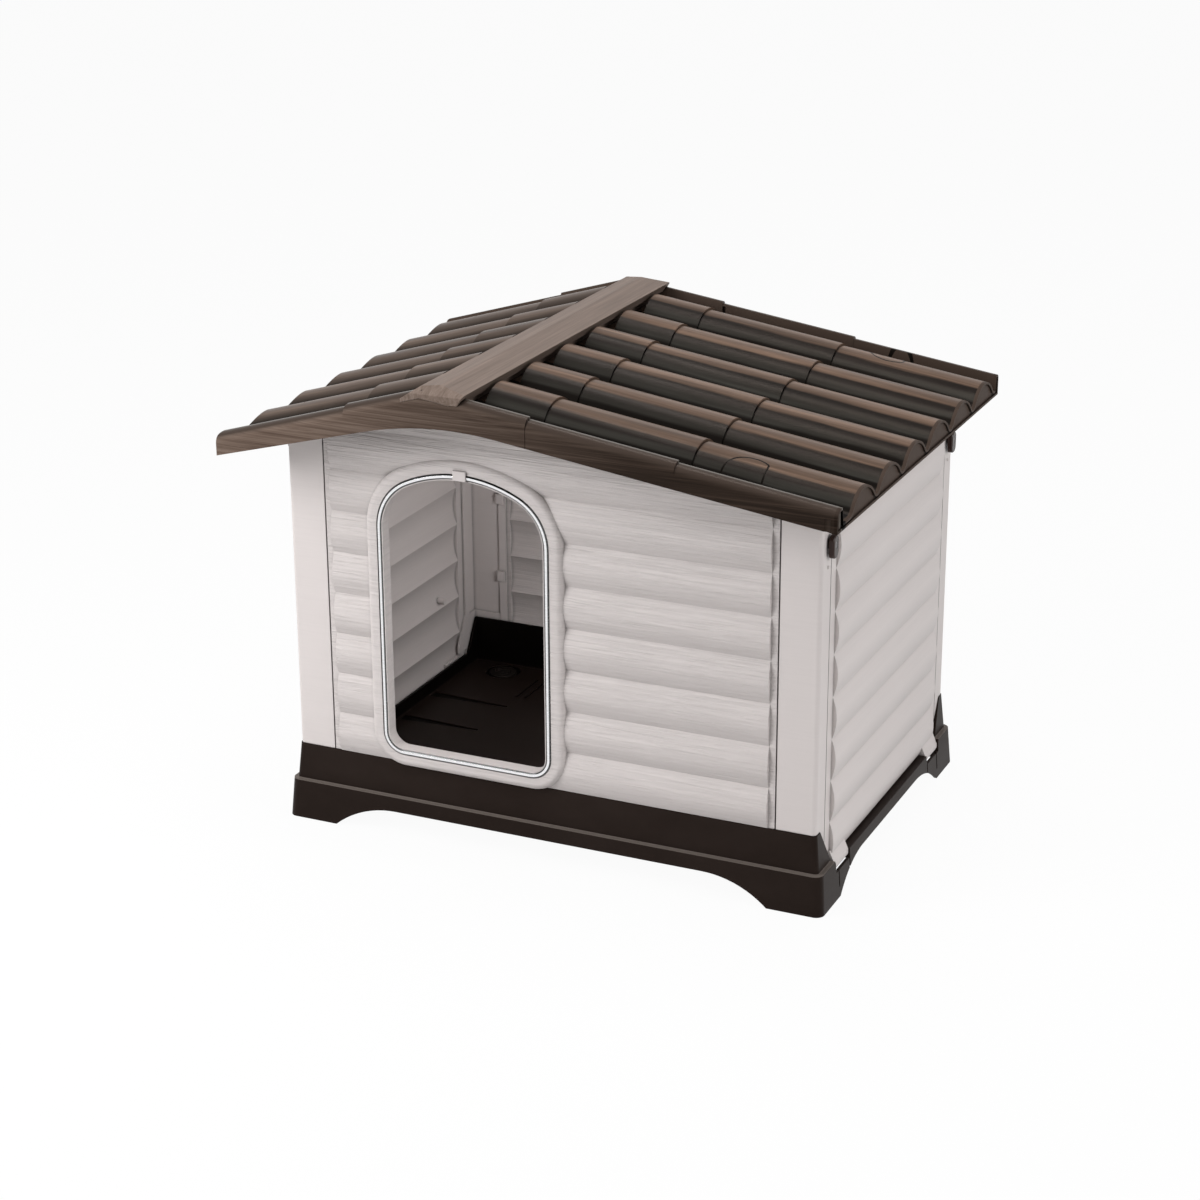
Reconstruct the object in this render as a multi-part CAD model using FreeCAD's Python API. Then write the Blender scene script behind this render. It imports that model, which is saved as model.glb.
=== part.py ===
import FreeCAD, Part
import math
import os
from FreeCAD import Vector

os.makedirs("parts", exist_ok=True)

# Plastic dog house with a tiled roof and one side wall that folds down.
# All sizes are in mm. Inside the functions x = 0, y = 0 is the middle of the base tray,
# -Y is the door side and z = 0 is the ground. The finished pieces are moved at export
# so that the origin is the middle of the whole outline, on the ground.

# ---------------------------------------------------------------- driving dimensions
WALL_X = 378.0            # half width over the side walls
WALL_Y = 263.0            # half depth over the front and rear walls
WALL_T = 4.0              # moulded wall thickness of panels and posts
BULGE = 6.0               # how far each siding board bows out
BOARD_PITCH = 58.2        # height of one siding board
BOARD_Z = 105.0           # bottom of the first board above the band
BOARDS = 8                # boards on the front and rear walls
BOARD_MARGIN = 9.0        # flat strip beside the board ends, front and rear
SIDE_MARGIN = 18.0        # the same on the side walls
CAP_T = 3.0               # thickness of the closed board ends
FIT_GAP = 0.3             # clearance between pieces that seat on each other
SEAM_GAP = 2.0            # open joint round the folding side wall

# base tray
FOOT_X = 394.0            # half width at the ground
FOOT_Y = 278.0            # half depth at the ground
LIP_X = 390.0             # half width at the lip
LIP_Y = 273.5             # half depth at the lip
LIP_Z = 55.0              # height of the lip under the band
LEDGE = 6.0               # width of the lip's flat top
BAND_TOP = 107.0          # top of the front and rear bands
BAND_PROUD = 1.0          # how far the band stands outside the walls
BAND_T = 3.5              # thickness of the band
RIM_OUT_X = 370.0         # inner rim of the tray: outer half width
RIM_OUT_Y = 255.4         # and outer half depth
RIM_T = 3.6               # thickness of the inner rim
RIM_TOP = 115.0           # its height along the front and rear
RIM_SIDE_TOP = 66.0       # and along the sides
RIM_SLANT_TOP_Y = 252.0   # where its slanted ends start, at the top
RIM_SLANT_FOOT_Y = 221.0  # and where they end
SKIRT_T = 4.0             # thickness of the skirt
FLOOR_Z = 46.0            # top of the floor
FLOOR_T = 4.0             # thickness of the floor
TRAY_CORNER_R = 12.0      # outer corner radius of the tray
SILL_Z = 50.0             # top of the side sills
ARCH_Z = 34.0             # height of the arches between the feet
ARCH_RUN = 92.0           # length of an arch's curved end
ARCH_FRONT_X = 318.0      # half width of the front arch at the ground
ARCH_SIDE_Y = 204.0       # half width of the side arch at the ground
GUSSET_TOP_Y = 248.0      # where the band's side return ends, at its top
GUSSET_FOOT_Y = 216.0     # where it ends, at the sill
CHANNEL_DEPTH = 2.0       # depth of the floor's drainage channels
CHANNEL_LENGTH = 125.0
CHANNEL_WIDE = 18.0       # channel width at the wall
CHANNEL_NARROW = 4.0      # channel width at its inner end
CHANNEL_PITCH = 96.0
CHANNEL_WALL_GAP = 12.0   # distance from the tray's side to the channel
CHANNELS = 3              # channels on each side
GROOVE_X = 245.0          # short grooves near the drain: distance from the middle
GROOVE_PITCH = 14.0
GROOVE_W = 4.0
GROOVE_FROM_Y = 135.0
GROOVE_TO_Y = 210.0

# drain
DRAIN_X = -307.0
DRAIN_Y = 220.0
DRAIN_DISH_R = 27.0       # radius of the dish round the drain
DRAIN_DISH_DEPTH = 3.0
DRAIN_BOSS_R = 25.0       # thickened ring under the floor
DRAIN_BOSS_T = 5.0
PLUG_R = 16.0             # plug shank radius
PLUG_HEAD_R = 21.0
PLUG_HEAD_T = 2.4
PLUG_LENGTH = 9.0
PLUG_GRIP_L = 24.0        # finger bar on the plug
PLUG_GRIP_W = 5.0
PLUG_GRIP_H = 5.0

# hinges of the folding side wall
HINGE_X = 383.5           # hinge axis, from the middle of the tray
HINGE_Z = 43.5
HINGE_PIN_R = 3.5
HINGE_HUB_R = 5.0
HINGE_PIN_L = 7.0         # length of pin in each bearing
NOTCH_IN_Y = 163.0        # inner end of the hinge notch in the sill
TAB_Z = 37.5              # top of the springy tab below the notch
BEARING_L = 13.0          # length of the bearing blocks
BEARING_Z = 35.0          # underside of the bearing blocks
BEARING_IN_X = 377.5      # inner side of the bearing blocks
SLOT_W = 3.0              # slots that free the tab
SLOT_Z = 14.0             # bottom of the slots
SLOT_OUT_Y = 205.0        # outer slot

# corner posts
POST_FRONT_X = 323.0      # seam between the post and the front panel
POST_SIDE_Y = 231.0       # seam between the post and the side wall
POST_CORNER_R = 6.0
POST_FLANGE = 6.0         # overlap of the post behind the panels
POST_FLANGE_T = 3.0
POST_FLANGE_GAP = 0.5     # room between the flange and the side wall
POST_FOOT_T = 4.0         # thickness of the post's foot
GUSSET_PLATE_TOP = 128.0  # slanted plate at the foot of the post's side flange
GUSSET_PLATE_MID = 85.0
GUSSET_PLATE_LOW = 73.0
GUSSET_PLATE_Y = 199.0
POST_FOOT_TOP = 125.0

# door
DOOR_X = -114.5           # middle of the door
DOOR_HALF = 124.5         # half width over the metal edge strip
DOOR_BOTTOM = 122.5       # underside of the strip
DOOR_TOP = 530.0          # top of the strip
DOOR_BOTTOM_R = 30.0
DOOR_SHOULDER_R = 75.0
DOOR_CROWN_R = 190.0
SURROUND_W = 19.0         # width of the raised surround outside the strip
SURROUND_PROUD = 11.0     # how far the surround stands out
SURROUND_ROUND = 9.0      # rounding of its outer edge
SURROUND_BACK = 3.0       # how far the surround runs into the cabin
STRIP_W = 5.6             # width of the strip's face
STRIP_PROUD = 1.2         # how far the strip stands out of the surround
STRIP_CHAMFER = 1.2       # bevel of the strip's edges
STRIP_GROOVE = 1.2        # open groove outside the strip
STRIP_GROOVE_IN = 0.7     # open groove inside the strip
STRIP_GROOVE_DEPTH = 3.0
DOOR_RIM = 1.4            # plastic left between the groove and the opening
CLIP_W = 19.0             # cover clip over the strip's joint
CLIP_T = 1.6
CLIP_OVER = 5.0           # reach of the clip outside the strip

# roof
ROOF_LEFT = 435.0         # distance of the left eave from the middle
ROOF_RIGHT = 425.0        # distance of the right eave
ROOF_FRONT = 346.0        # distance of the front edge
ROOF_REAR = 316.0         # distance of the rear edge
ROOF_T = 3.0              # thickness of the roof mouldings
LEFT_EAVE_Z = 567.5       # lip height at the left eave
RIGHT_EAVE_Z = 575.0      # lip height at the right eave
EAVE_H = 29.5             # height of the edge boards at the eaves
LEFT_PITCH = 16.437       # pitch of the left slope, degrees
RIGHT_PITCH = 8.082       # pitch of the right slope, degrees
LEFT_SOFFIT_PITCH = 14.816    # pitch of the edge boards' underside on the left, degrees
RIGHT_SOFFIT_PITCH = 7.857    # and on the right, degrees
ARCH_TANGENT = 95.0       # length of the crown curve's tangents
ROW_STEP = 3.0            # each upper row of tiles stands this much higher
LEFT_ROW_X = -243.0       # end of the left upper row
LEFT_TILE_TUCK = 11.5     # left tiles end this far from the ridge line, under the beam
RIGHT_TILE_START = 63.5   # right tiles start this far from the ridge line
RIGHT_ROW_1 = 14.5        # end of the right first row, and the joint of the two shells
RIGHT_ROW_2 = 214.5       # end of the right second row
LIP_ROUND = 13.0          # rounding of the lip's outer edge
LIP_CREST = 4.0           # flat crest of the front lip
LIP_DROP_W = 4.0          # width of the slope from the crest to the valley
VALLEY = 21.0             # depth of the valleys below the lip
REAR_LIP_ROUND = 6.0
REAR_LIP_CREST = 3.0
TILE_RISE = 24.0          # height of a tile above the valley
TILE_PITCH = 100.0
VALLEY_R = 12.0           # rounding of the valley between two tiles
TILES = 6
SHELL_GAP = 0.8           # open joint between the two roof shells
ROW_GROOVE_W = 1.4        # groove at the foot of each row's step
ROW_GROOVE_DEPTH = 1.0
LEFT_TILE_X = -433.0      # foot of the left tiles' slanted ends
LEFT_TILE_SLANT = 17.0    # how far the slanted ends lean back
EAVE_CORNER_R = 8.0       # rounded upper corner of the left edge boards
TUCK = 14.0               # how far the right shell tucks under the left one
EAVE_PLATE_INSET = 2.5    # recess of the plates that close the eave tiles
FLUTE_R = 6.0             # upright flute near the right end of the front edge board
FLUTE_DEPTH = 1.7
FLUTE_X = 412.0

# ridge beam
RIDGE_LEFT_RUN = 27.5     # the beam's corners, outwards from the line where the slopes meet
RIDGE_LEFT_SHOULDER_RUN = 4.5
RIDGE_CREST_RUN = 20.5
RIDGE_RIGHT_SHOULDER_RUN = 60.5
RIDGE_RIGHT_RUN = 52.5
RIDGE_LEFT_DROP = 13.0    # and their heights below or above that line
RIDGE_LEFT_SHOULDER_RISE = 2.5
RIDGE_CREST_RISE = 5.0
RIDGE_RIGHT_SHOULDER_DROP = 1.5
RIDGE_RIGHT_DROP = 14.5
RIDGE_T = 3.0
RIDGE_SKIRT_INSET = 11.0  # recess of the beam's right skirt
RIDGE_END_DROP = 5.0      # sloping ends: their foot below the ridge line
RIDGE_END_FRONT = 22.0    # and their length at the front
RIDGE_END_REAR = 16.0     # and at the rear

# half-moon covers in the right slope
COVER_X = 286.0
COVER_R = 33.0
COVER_CUT_X = 306.0       # straight side of the cover
COVER_FRONT_Y = 290.0     # distance of the front cover's middle
COVER_REAR_Y = 276.0      # distance of the rear cover's middle
COVER_GAP = 0.6
COVER_LIP_GAP = 1.0       # between the covers and the lips

# latches
LATCH_Y = 240.5           # pivot, from the middle
LATCH_Z = 495.0
LATCH_R = 9.0             # half width of the latch
LATCH_UP = 4.0            # pivot to the middle of its rounded top
LATCH_DOWN = 9.0          # pivot to the middle of its rounded tip
LATCH_T = 7.0             # thickness of the latch
LATCH_STAND = 3.0         # room between the latch and the wall
LATCH_HUB_R = 6.0         # hub that carries it
LATCH_GAP = 0.4           # room between the hub and the wall
LATCH_CHAMFER = 1.5
LATCH_SCREW_R = 2.2
LATCH_HEAD_R = 4.0
LATCH_HEAD_T = 2.2
LATCH_BOSS_R = 6.5
LATCH_BOSS_L = 9.0
NUB_R = 3.0               # stop nub on the post below the latch
NUB_TOP_R = 1.6
NUB_H = 2.0
NUB_Y = 243.0
NUB_DROP = 30.0           # pivot to the nub
SIDE_TOP_GAP = 4.0        # side wall's top below the right eave

# catches and a peg moulded on the inside
CATCH_W = 12.0
CATCH_H = 16.0
CATCH_T = 4.0
CATCH_LOW_Z = 188.0
CATCH_HIGH_Z = 312.0
PEG_Y = 148.0
PEG_Z = 175.5
PEG_R = 4.5
PEG_L = 12.0

# screws that hold the roof to the posts
SCREW_X = 350.0
SCREW_Y = 250.0
SCREW_R = 2.0
SCREW_L = 16.0
SCREW_HEAD_R = 4.0
SCREW_HEAD_T = 2.4
SHELF_T = 4.0             # shelf inside each post's top
SHELF_DROP = 30.0         # shelf below the roof sheet
SHELF_REACH = 14.0        # shelf beyond the screw
ROOF_BOSS_R = 6.0

# ---------------------------------------------------------------- derived values
SHIFT_X = (ROOF_LEFT - ROOF_RIGHT) / 2
SHIFT_Y = (ROOF_FRONT - ROOF_REAR) / 2
BAND_IN_X = WALL_X + BAND_PROUD - BAND_T       # inner faces of the band
BAND_IN_Y = WALL_Y + BAND_PROUD - BAND_T
FLOOR_UNDER = FLOOR_Z - FLOOR_T
RIGHT_SOFFIT_Z = RIGHT_EAVE_Z - EAVE_H
LEFT_SOFFIT_Z = LEFT_EAVE_Z - EAVE_H
SIDE_TOP_Z = RIGHT_SOFFIT_Z - SIDE_TOP_GAP
SIDE_BOTTOM_Z = SILL_Z + 4.0
SIDE_EDGE_Y = POST_SIDE_Y - SEAM_GAP
LEFT_SLOPE = math.tan(math.radians(LEFT_PITCH))          # rise per mm of run
RIGHT_SLOPE = math.tan(math.radians(RIGHT_PITCH))
LEFT_SOFFIT = math.tan(math.radians(LEFT_SOFFIT_PITCH))
RIGHT_SOFFIT = math.tan(math.radians(RIGHT_SOFFIT_PITCH))
FIELD_FRONT = LIP_ROUND + LIP_CREST + LIP_DROP_W - ROOF_FRONT        # tile field between the lips
FIELD_REAR = ROOF_REAR - REAR_LIP_ROUND - REAR_LIP_CREST - LIP_DROP_W
GABLE_OVERLAP = 250.0     # reach of cutting blocks past the pieces they trim
GRIP = 1.0                # reach of a cutting block past a face it cuts through
FAR = 1000.0
SMALL = 0.01              # distances under this are taken as none
X_AXIS = Vector(1, 0, 0)
Y_AXIS = Vector(0, 1, 0)
Z_AXIS = Vector(0, 0, 1)


# ---------------------------------------------------------------- helpers
def box(x0, x1, y0, y1, z0, z1):
    corner = Vector(min(x0, x1), min(y0, y1), min(z0, z1))
    return Part.makeBox(abs(x1 - x0), abs(y1 - y0), abs(z1 - z0), corner)


def prism(points, along):
    """A closed outline of points, pushed along a vector."""
    wire = Part.makePolygon(list(points) + [points[0]])
    return Part.Face(wire).extrude(along)


def prism_y(points, y0, y1):
    """Outline in x, z, pushed from y0 to y1."""
    return prism([Vector(x, y0, z) for x, z in points], Vector(0, y1 - y0, 0))


def prism_x(points, x0, x1):
    """Outline in y, z, pushed from x0 to x1."""
    return prism([Vector(x0, y, z) for y, z in points], Vector(x1 - x0, 0, 0))


def prism_z(points, z0, z1):
    """Outline in x, y, pushed from z0 to z1."""
    return prism([Vector(x, y, z0) for x, y in points], Vector(0, 0, z1 - z0))


def rod_x(r, x0, x1, y, z):
    return Part.makeCylinder(r, x1 - x0, Vector(x0, y, z), X_AXIS)


def rod_y(r, y0, y1, x, z):
    return Part.makeCylinder(r, y1 - y0, Vector(x, y0, z), Y_AXIS)


def rod_z(r, z0, z1, x, y):
    return Part.makeCylinder(r, z1 - z0, Vector(x, y, z0), Z_AXIS)


def mirror_x(shape):
    return shape.mirror(Vector(0, 0, 0), X_AXIS)


def mirror_y(shape):
    return shape.mirror(Vector(0, 0, 0), Y_AXIS)


def join(first, *others):
    return first.multiFuse(list(others)).removeSplitter()


def arc(a, middle, b):
    return Part.Arc(a, middle, b).toShape()


def rounded_rectangle(half_x, half_y, r, z):
    """Closed wire round a rectangle with rounded corners."""
    k = r * (1 - math.sqrt(0.5))
    edges = []
    corners = ((1, -1), (1, 1), (-1, 1), (-1, -1))
    ends = []
    for sx, sy in corners:
        on_y = Vector(sx * (half_x - r), sy * half_y, z)
        on_x = Vector(sx * half_x, sy * (half_y - r), z)
        mid = Vector(sx * (half_x - k), sy * (half_y - k), z)
        ends.append((on_y, mid, on_x) if sx * sy < 0 else (on_x, mid, on_y))
    for i, (a, mid, b) in enumerate(ends):
        edges.append(arc(a, mid, b))
        edges.append(Part.LineSegment(b, ends[(i + 1) % len(ends)][0]).toShape())
    return Part.Wire(edges)


def tapered_block(half_x0, half_y0, z0, half_x1, half_y1, z1, r):
    wires = [rounded_rectangle(half_x0, half_y0, r, z0), rounded_rectangle(half_x1, half_y1, r, z1)]
    return Part.makeLoft(wires, True, True)


def save(name, *shapes):
    """Writes one node; several solids become one group."""
    whole = shapes[0] if len(shapes) == 1 else Part.makeCompound(list(shapes))
    whole = whole.copy()
    whole.translate(Vector(SHIFT_X, SHIFT_Y, 0))
    whole.exportStep("parts/" + name + ".step")
    faces = len(whole.Faces)
    print(name, "solids", len(whole.Solids), "faces", faces, "valid", whole.isValid())


# ---------------------------------------------------------------- roof lines
def left_lip(x):
    return LEFT_EAVE_Z + LEFT_SLOPE * (x + ROOF_LEFT)


def right_lip(x):
    return RIGHT_EAVE_Z + RIGHT_SLOPE * (ROOF_RIGHT - x)


def ridge_line_x(left_up, right_up):
    """Where the two slopes meet, each lifted by its rows' steps."""
    reach = right_lip(0) + right_up - left_lip(0) - left_up
    return reach / (LEFT_SLOPE + RIGHT_SLOPE)


RIDGE_X = ridge_line_x(ROW_STEP, 2 * ROW_STEP)
RIDGE_Z = left_lip(RIDGE_X) + ROW_STEP
LEFT_RIDGE_X = RIDGE_X - LEFT_TILE_TUCK
RIGHT_RIDGE_X = RIDGE_X + RIGHT_TILE_START
RIDGE_LEFT_X = RIDGE_X - RIDGE_LEFT_RUN
RIDGE_LEFT_SHOULDER_X = RIDGE_X - RIDGE_LEFT_SHOULDER_RUN
RIDGE_CREST_X = RIDGE_X + RIDGE_CREST_RUN
RIDGE_RIGHT_SHOULDER_X = RIDGE_X + RIDGE_RIGHT_SHOULDER_RUN
RIDGE_RIGHT_X = RIDGE_X + RIDGE_RIGHT_RUN
RIDGE_LEFT_Z = RIDGE_Z - RIDGE_LEFT_DROP
RIDGE_LEFT_SHOULDER_Z = RIDGE_Z + RIDGE_LEFT_SHOULDER_RISE
RIDGE_CREST_Z = RIDGE_Z + RIDGE_CREST_RISE
RIDGE_RIGHT_SHOULDER_Z = RIDGE_Z - RIDGE_RIGHT_SHOULDER_DROP
RIDGE_RIGHT_Z = RIDGE_Z - RIDGE_RIGHT_DROP
RIDGE_END_Z = RIDGE_Z - RIDGE_END_DROP


def under_roof():
    """Outline in x, z of all that lies below the roof sheet."""
    drop = VALLEY + ROOF_T + FIT_GAP
    left_low = left_lip(-ROOF_LEFT) - drop
    left_step = LEFT_ROW_X + ROOF_T + FIT_GAP
    step_left = left_lip(left_step) - drop
    step_1 = right_lip(RIGHT_ROW_1 - TUCK) - drop - FIT_GAP
    step_2 = right_lip(RIGHT_ROW_2 - ROOF_T) - drop
    right_low = right_lip(ROOF_RIGHT) - drop
    lap_x = RIGHT_ROW_1 - TUCK - FIT_GAP
    return [(-ROOF_LEFT, 0), (ROOF_RIGHT, 0), (ROOF_RIGHT, right_low), (RIGHT_ROW_2 - ROOF_T - FIT_GAP, step_2),
            (RIGHT_ROW_2 - ROOF_T - FIT_GAP, step_2 + ROW_STEP), (lap_x, step_1 + ROW_STEP),
            (lap_x, step_1 + 2 * ROW_STEP), (RIDGE_X, RIDGE_Z - drop),
            (left_step, step_left + ROW_STEP), (left_step, step_left), (-ROOF_LEFT, left_low)]


# ---------------------------------------------------------------- base tray
def gusset_y(z):
    """Distance from the middle of the band's slanted end at height z."""
    share = (z - SILL_Z) / (BAND_TOP - SILL_Z)
    return GUSSET_FOOT_Y + share * (GUSSET_TOP_Y - GUSSET_FOOT_Y)


def skirt_half(z):
    """Outer half sizes of the skirt at height z."""
    share = z / LIP_Z
    return FOOT_X + share * (LIP_X - FOOT_X), FOOT_Y + share * (LIP_Y - FOOT_Y)


def arch_face(half):
    """Arch outline in one upright plane: curved ends and a level top, as (distance, z) edges."""
    r = (ARCH_RUN ** 2 + ARCH_Z ** 2) / (2 * ARCH_Z)
    turn = math.asin(ARCH_RUN / r)
    mid_run = half - ARCH_RUN + r * math.sin(turn / 2)
    mid_z = ARCH_Z - r * (1 - math.cos(turn / 2))
    return [(-half, 0), (-mid_run, mid_z), (-half + ARCH_RUN, ARCH_Z),
            (half - ARCH_RUN, ARCH_Z), (mid_run, mid_z), (half, 0)]


def arch_cut(half, across):
    """Block with the arch's outline, along y, or along x when across is set."""
    def at(run, z):
        return Vector(-FAR, run, z) if across else Vector(run, -FAR, z)
    p = [at(run, z) for run, z in arch_face(half)]
    low_left, low_right = at(-half, -1), at(half, -1)
    edges = [Part.LineSegment(low_left, p[0]).toShape(), arc(p[0], p[1], p[2]),
             Part.LineSegment(p[2], p[3]).toShape(), arc(p[3], p[4], p[5]),
             Part.LineSegment(p[5], low_right).toShape(), Part.LineSegment(low_right, low_left).toShape()]
    push = Vector(2 * FAR, 0, 0) if across else Vector(0, 2 * FAR, 0)
    return Part.Face(Part.Wire(edges)).extrude(push)


def floor_channels():
    """Shallow tapered channels that lead water in from the side walls."""
    cuts = []
    start = BAND_IN_X - CHANNEL_WALL_GAP
    for side in (-1, 1):
        for i in range(CHANNELS):
            y = (i - (CHANNELS - 1) / 2) * CHANNEL_PITCH
            outline = [(side * start, y - CHANNEL_WIDE / 2), (side * start, y + CHANNEL_WIDE / 2),
                       (side * (start - CHANNEL_LENGTH), y + CHANNEL_NARROW / 2),
                       (side * (start - CHANNEL_LENGTH), y - CHANNEL_NARROW / 2)]
            cuts.append(prism_z(outline, FLOOR_Z - CHANNEL_DEPTH, FLOOR_Z + 1))
        for i in range(2):
            x = side * (GROOVE_X - i * GROOVE_PITCH)
            cuts.append(box(x, x + GROOVE_W, GROOVE_FROM_Y, GROOVE_TO_Y, FLOOR_Z - CHANNEL_DEPTH, FLOOR_Z + 1))
    return cuts


def hinge_cuts(side):
    """Notch, bearings' bores and tab slots at both ends of one side sill."""
    cuts = []
    skirt_in = skirt_half(SILL_Z)[0] - SKIRT_T - 2 * FIT_GAP
    bore_in = HINGE_PIN_L + FIT_GAP
    for end in (-1, 1):
        cuts.append(box(side * (BAND_IN_X - FIT_GAP), side * FAR, end * NOTCH_IN_Y, end * GUSSET_FOOT_Y,
                        TAB_Z, SILL_Z + 1))
        low = min(end * (NOTCH_IN_Y - bore_in), end * (GUSSET_FOOT_Y + bore_in))
        high = max(end * (NOTCH_IN_Y - bore_in), end * (GUSSET_FOOT_Y + bore_in))
        cuts.append(rod_y(HINGE_PIN_R + FIT_GAP, low, high, side * HINGE_X, HINGE_Z))
        for slot in (NOTCH_IN_Y, SLOT_OUT_Y):
            cuts.append(box(side * skirt_in, side * FAR, end * slot, end * (slot + SLOT_W), SLOT_Z, SILL_Z + 1))
    return cuts


def bearing_blocks(side):
    """Solid blocks in the sill that hold the hinge pins."""
    outer = skirt_half(BEARING_Z)[0] - SKIRT_T + 1
    blocks = []
    for end in (-1, 1):
        for start, stop in ((NOTCH_IN_Y - BEARING_L, NOTCH_IN_Y), (GUSSET_FOOT_Y, GUSSET_FOOT_Y + BEARING_L)):
            blocks.append(box(side * BEARING_IN_X, side * outer, end * start, end * stop, BEARING_Z, SILL_Z))
    return blocks


def inner_rim():
    """Low wall inside the panels: high along the front and rear, low along the sides."""
    inner_x, inner_y = RIM_OUT_X - RIM_T, RIM_OUT_Y - RIM_T
    rim = box(-RIM_OUT_X, RIM_OUT_X, -RIM_OUT_Y, RIM_OUT_Y, FLOOR_Z - 1, RIM_TOP)
    rim = rim.cut(box(-inner_x, inner_x, -inner_y, inner_y, 0, FAR))
    dip = [(-RIM_SLANT_TOP_Y, RIM_TOP + 1), (-RIM_SLANT_FOOT_Y, RIM_SIDE_TOP),
           (RIM_SLANT_FOOT_Y, RIM_SIDE_TOP), (RIM_SLANT_TOP_Y, RIM_TOP + 1)]
    return rim.cut([prism_x(dip, inner_x - 1, FAR), prism_x(dip, -FAR, 1 - inner_x)])


def base_tray():
    skirt = tapered_block(FOOT_X, FOOT_Y, 0, LIP_X, LIP_Y, LIP_Z, TRAY_CORNER_R)
    band = tapered_block(LIP_X - LEDGE, LIP_Y - LEDGE, LIP_Z, WALL_X + BAND_PROUD, WALL_Y + BAND_PROUD,
                         BAND_TOP, TRAY_CORNER_R - LEDGE)
    tray = skirt.fuse(band)
    hollow = box(-BAND_IN_X, BAND_IN_X, -BAND_IN_Y, BAND_IN_Y, FLOOR_Z, BAND_TOP + 1)
    low_x, low_y = FOOT_X - SKIRT_T, FOOT_Y - SKIRT_T
    high_x, high_y = skirt_half(FLOOR_UNDER)
    under = tapered_block(low_x, low_y, 0, high_x - SKIRT_T, high_y - SKIRT_T, FLOOR_UNDER,
                          TRAY_CORNER_R - SKIRT_T)
    tray = tray.cut(hollow.fuse(under))
    side_gap = [(-gusset_y(BAND_TOP + 1), BAND_TOP + 1), (-GUSSET_FOOT_Y, SILL_Z),
                (GUSSET_FOOT_Y, SILL_Z), (gusset_y(BAND_TOP + 1), BAND_TOP + 1)]
    adds = [rod_z(DRAIN_BOSS_R, FLOOR_UNDER - DRAIN_BOSS_T, FLOOR_UNDER + 1, DRAIN_X, DRAIN_Y), inner_rim()]
    cuts = [prism_x(side_gap, BAND_IN_X - 1, FAR), prism_x(side_gap, -FAR, 1 - BAND_IN_X)]
    for side in (-1, 1):
        adds += bearing_blocks(side)
        cuts += hinge_cuts(side)
    cuts += floor_channels()
    cuts += [arch_cut(ARCH_FRONT_X, False), arch_cut(ARCH_SIDE_Y, True)]
    cuts.append(rod_z(DRAIN_DISH_R, FLOOR_Z - DRAIN_DISH_DEPTH, FLOOR_Z + 1, DRAIN_X, DRAIN_Y))
    cuts.append(rod_z(PLUG_R + FIT_GAP, 0, FLOOR_Z, DRAIN_X, DRAIN_Y))
    return tray.multiFuse(adds).cut(cuts).removeSplitter()


def drain_plug():
    seat = FLOOR_Z - DRAIN_DISH_DEPTH + FIT_GAP
    head_top = seat + PLUG_HEAD_T
    shank = rod_z(PLUG_R, seat - PLUG_LENGTH, seat + 1, DRAIN_X, DRAIN_Y)
    head = rod_z(PLUG_HEAD_R, seat, head_top, DRAIN_X, DRAIN_Y)
    grip = box(DRAIN_X - PLUG_GRIP_L / 2, DRAIN_X + PLUG_GRIP_L / 2, DRAIN_Y - PLUG_GRIP_W / 2,
               DRAIN_Y + PLUG_GRIP_W / 2, seat, head_top + PLUG_GRIP_H)
    return join(shank, head, grip)


# ---------------------------------------------------------------- walls
def board_edges(first, last, depth_0, bulge):
    """Points and arcs of a stack of boards, as (depth, z) triples for each arc."""
    rows = []
    for i in range(first, last):
        low = BOARD_Z + i * BOARD_PITCH
        rows.append(((depth_0, low), (depth_0 + bulge, low + BOARD_PITCH / 2), (depth_0, low + BOARD_PITCH)))
    return rows


def siding(first, last, outer, run_0, run_1, place):
    """Bowed sheet of boards with closed ends. place(run, depth, z) gives a point."""
    def sheet(run_a, run_b, solid_back):
        rows = board_edges(first, last, outer, BULGE)
        edges = [arc(*[place(run_a, d, z) for d, z in row]) for row in rows]
        low, high = rows[0][0][1], rows[-1][2][1]
        back = outer - WALL_T
        if solid_back:
            tail = [(back, low)]
            edges.append(Part.LineSegment(place(run_a, outer, high), place(run_a, back, high)).toShape())
            edges.append(Part.LineSegment(place(run_a, back, high), place(run_a, *tail[0])).toShape())
        else:
            inner = board_edges(first, last, back, BULGE)
            edges.append(Part.LineSegment(place(run_a, outer, high), place(run_a, back, high)).toShape())
            edges += [arc(*[place(run_a, d, z) for d, z in row[::-1]]) for row in inner[::-1]]
        edges.append(Part.LineSegment(place(run_a, back, low), place(run_a, outer, low)).toShape())
        face = Part.Face(Part.Wire(edges))
        return face.extrude(place(run_b, 0, 0) - place(run_a, 0, 0))
    middle = sheet(run_0 + CAP_T, run_1 - CAP_T, False)
    return join(middle, sheet(run_0, run_0 + CAP_T, True), sheet(run_1 - CAP_T, run_1, True))


def gable_trim():
    """Block that bounds the front and rear panels under the roof."""
    return prism_y(under_roof(), -FAR, FAR)


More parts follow.
